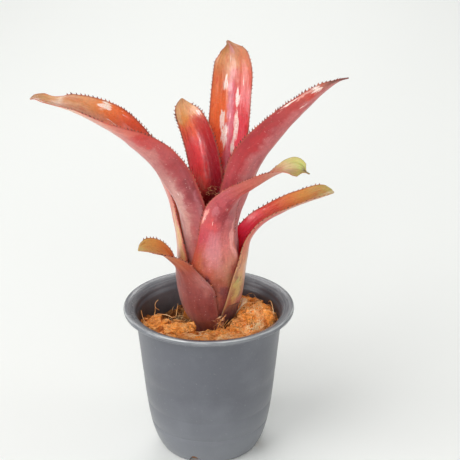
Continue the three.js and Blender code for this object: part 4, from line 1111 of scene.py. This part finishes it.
tall_inner = leaf_skin(
    "orange_and_red_leaf_skin_wet", 187,
    low=[(0.3, "#b82430"), (0.5, "#d83448"), (0.6, "#e84458"), (0.72, "#cc4a54"), (0.8, "#c85454"),
         (0.87, "#c4604c"), (0.93, "#bc7450"), (1.0, "#a87c54")],
    high=[(0.3, "#c03024"), (0.5, "#dc5034"), (0.6, "#ec6a42"), (0.72, "#e4703c"), (0.8, "#d86c3c"),
          (0.88, "#c67448"), (0.94, "#c88c54"), (1.0, "#a88054")],
    margin="#8a4a34", seam=(0.58, 0.2), keel=("#d090a0", 0.12, 0.5), blotch="#b83030", bloom_and_sheen=0.06,
    roughness=(0.24, 0.4), wet=0.4,
    stains=[((0.5, 0.93), (0.2, 0.05), "#cf9468", 0.7), ((0.5, 0.87), (0.22, 0.04), "#d07c70", 0.6),
            ((0.45, 0.84), (0.05, 0.05), "#c83c50", 0.5)],
    glints=[((0.66, 0.84), (0.1, 0.05), 0.85), ((0.69, 0.71), (0.09, 0.07), 0.95),
            ((0.6, 0.64), (0.11, 0.09), 0.95), ((0.36, 0.79), (0.09, 0.06), 0.85),
            ((0.36, 0.69), (0.11, 0.1), 0.95), ((0.41, 0.61), (0.08, 0.07), 0.8),
            ((0.24, 0.86), (0.07, 0.05), 0.45), ((0.54, 0.93), (0.1, 0.03), 0.45),
            ((0.36, 0.935), (0.08, 0.03), 0.35)])
grow_leaf("tall_back_leaf", TALL_LEAF, tall_outer, tall_inner, "leaf_back_tall")

# The inner leaf: the youngest, still short. The half in the light is scarlet and the half in its own shade
# dark crimson, and a tan and orange cap ends it.
INNER_LEAF = {
    "azimuth": 116, "rank": 7, "sheath_top": 68, "sheath_turn": (115, 90),
    "spine_start": 0, "spine_pitch": 2.3, "spine_scale": 0.9,
    "blade": [
        (117, 9.5, 98, 15.5, 75, 0, 0.05), (123, 10, 116.4, 16.1, 66, -15, 0.1),
        (131, 13.6, 132.8, 14.9, 60, -22, 0.09), (134, 20.4, 145.5, 12.2, 50, -22, 0.03),
        (134, 25.6, 153, 8.8, 38, -20), (133, 27.8, 157.8, 4.6, 25, -15), (132, 28.6, 160.8, 0.8, 15, 0)],
}
young_outer = leaf_skin(
    "pink_leaf_skin", 151,
    low=[(0.0, "#9c4844"), (0.4, "#b03c42"), (0.7, "#bc4c48"), (0.88, "#c4744c"), (1.0, "#b8905c")],
    keel=("#cc9c96", 0.2, 0.4), margin="#8a4a38")
young_inner = leaf_skin(
    "scarlet_and_crimson_leaf_skin", 151,
    low=[(0.35, "#4c1014"), (0.5, "#881c28"), (0.65, "#8e202c"), (0.75, "#92222c"), (0.82, "#a42c30"),
         (0.87, "#b44438"), (0.905, "#cc785c"), (0.95, "#d8a274"), (1.0, "#b88c5c")],
    high=[(0.35, "#8c201c"), (0.5, "#cc403a"), (0.62, "#ee564e"), (0.7, "#f04850"), (0.78, "#f05858"),
          (0.85, "#e86848"), (0.905, "#e49850"), (0.95, "#dca46c"), (1.0, "#bc9060")],
    margin="#8a4438", seam=(0.42, 0.26), blotch="#8c1c24", bloom_and_sheen=0.1, roughness=(0.2, 0.36), wet=0.5,
    stains=[((0.85, 0.93), (0.14, 0.04), "#e8bc8c", 0.7), ((0.3, 0.93), (0.12, 0.03), "#dc9c6c", 0.6),
            ((0.62, 0.8), (0.14, 0.04), "#f07070", 0.6), ((0.6, 0.6), (0.1, 0.05), "#e47c70", 0.6)],
    glints=[((0.12, 0.905), (0.12, 0.03), 0.7), ((0.52, 0.78), (0.1, 0.05), 0.5),
            ((0.9, 0.9), (0.07, 0.03), 0.6)])
grow_leaf("inner_leaf", INNER_LEAF, young_outer, young_inner, "leaf_inner")

# The old sheath stub and the dry flap: what is left of two outer leaves that died and were pulled away. The
# stub is dark, leathery and torn off short, and the flap is thin, papery and bleached.
STUB = {
    "azimuth": -48, "rank": 0, "sheath_top": 14, "sheath_turn": (18.5, 18.5),
    "spine_start": SPINELESS,
    "blade": [(-48, 20.6, 18.5, 6.8, 18, 0), (-47, 21.8, 24, 5, 15, 0, 0.2)],
}
FLAP = {
    "azimuth": -14, "rank": 0, "sheath_top": 13, "sheath_turn": (13, 12),
    "spine_start": SPINELESS,
    "blade": [(-17, 21, 17.5, 4.5, 15, 0), (-21, 23.3, 22.5, 4, 10, 28), (-18, 25.4, 24.5, 1.8, 5, 45)],
}
stub_hide = leaf_skin(
    "dead_plum_sheath", 25,
    low=[(0.0, "#241014"), (0.4, "#38161c"), (0.8, "#54262a"), (1.0, "#80503c")],
    high=[(0.0, "#241014"), (0.4, "#34141c"), (0.8, "#4c2228"), (1.0, "#80503c")],
    margin="#80503c", blotch="#2a1014", bloom_and_sheen=0.1, roughness=(0.42, 0.6))
flap_paper = leaf_skin(
    "dry_papery_sheath", 28,
    low=[(0.0, "#a88a5a"), (0.4, "#cdbb92"), (0.8, "#e0d2b4"), (1.0, "#c09a6c")],
    high=[(0.0, "#a88a5a"), (0.4, "#c6b488"), (0.8, "#e0d2b4"), (1.0, "#c09a6c")],
    margin="#b08860", blotch="#b09468", bloom_and_sheen=0.1, roughness=(0.55, 0.75))
grow_leaf("sheath_stub", STUB, stub_hide, stub_hide, "old_sheath_stub")
grow_leaf("papery_flap", FLAP, flap_paper, flap_paper, "dry_sheath_flap")
bpy.data.objects.remove(spine)

# Dry litter: brown bristles that have dropped into the cup and lodged in its throat, and the torn
# sheath's own fibres, which lie frayed over the plant's foot at the front.
BRISTLES = 22
FIBRES = 34
TORN_TOP = 17
TORN_DROP = 11
THROAT = Vector((2.2, 6.4, 190.4))
litter = strand_bundle("cup_litter", 0.26)
frayed = strand_bundle("frayed_fibres", 0.16)
draw = random.Random(23)
for i in range(BRISTLES):
    start = THROAT + Vector((draw.uniform(-4, 3.2), draw.uniform(-0.6, 0.6), draw.uniform(-4, 3.5)))
    heading, rise = draw.uniform(0, 2 * math.pi), draw.uniform(-0.6, 1.1)
    points = [start]
    for step in range(3):
        heading += draw.uniform(-0.9, 0.9)
        way = Vector((math.cos(heading), 0.25 * math.sin(heading), rise))
        points.append(points[-1] + way * draw.uniform(0.6, 1.1))
    lay_strand(litter, points, draw.uniform(0.6, 1.0), 0.3)
for i in range(FIBRES):
    drop = TORN_DROP * i / (FIBRES - 1)
    reach = clasping_radius(TORN_TOP - drop, 0) + 1.0
    lean = math.radians(-76 + 17 * draw.random())
    points = []
    for step in range(4):
        angle = lean - 0.07 * step * draw.uniform(0.4, 1.6)
        height = PLANT_FOOT + TORN_TOP + 1 - drop - step * draw.uniform(0.2, 1.3)
        out = reach + 0.25 * step
        points.append((PLANT_X + out * math.cos(angle), out * math.sin(angle), height))
    lay_strand(frayed, points, draw.uniform(0.6, 1.2), 0.3)

dry_bristle = fibre_material(
    "dry_brown_bristle", 400.0, 1.0, [(0.36, "#9c4c34"), (0.5, "#d08458"), (0.64, "#ffcc98")], 0.7)
frayed_fibre = fibre_material(
    "frayed_sheath_fibre", 300.0, 1.0, [(0.36, "#9c5038"), (0.5, "#d08858"), (0.64, "#f0c49c")], 0.6)
for bundle, finish, slot in ((litter, dry_bristle, "dead_sheath"), (frayed, frayed_fibre, "dry_sheath")):
    strands = strands_as_mesh(bundle)
    strands.data.materials.append(finish)
    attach(strands, "root")
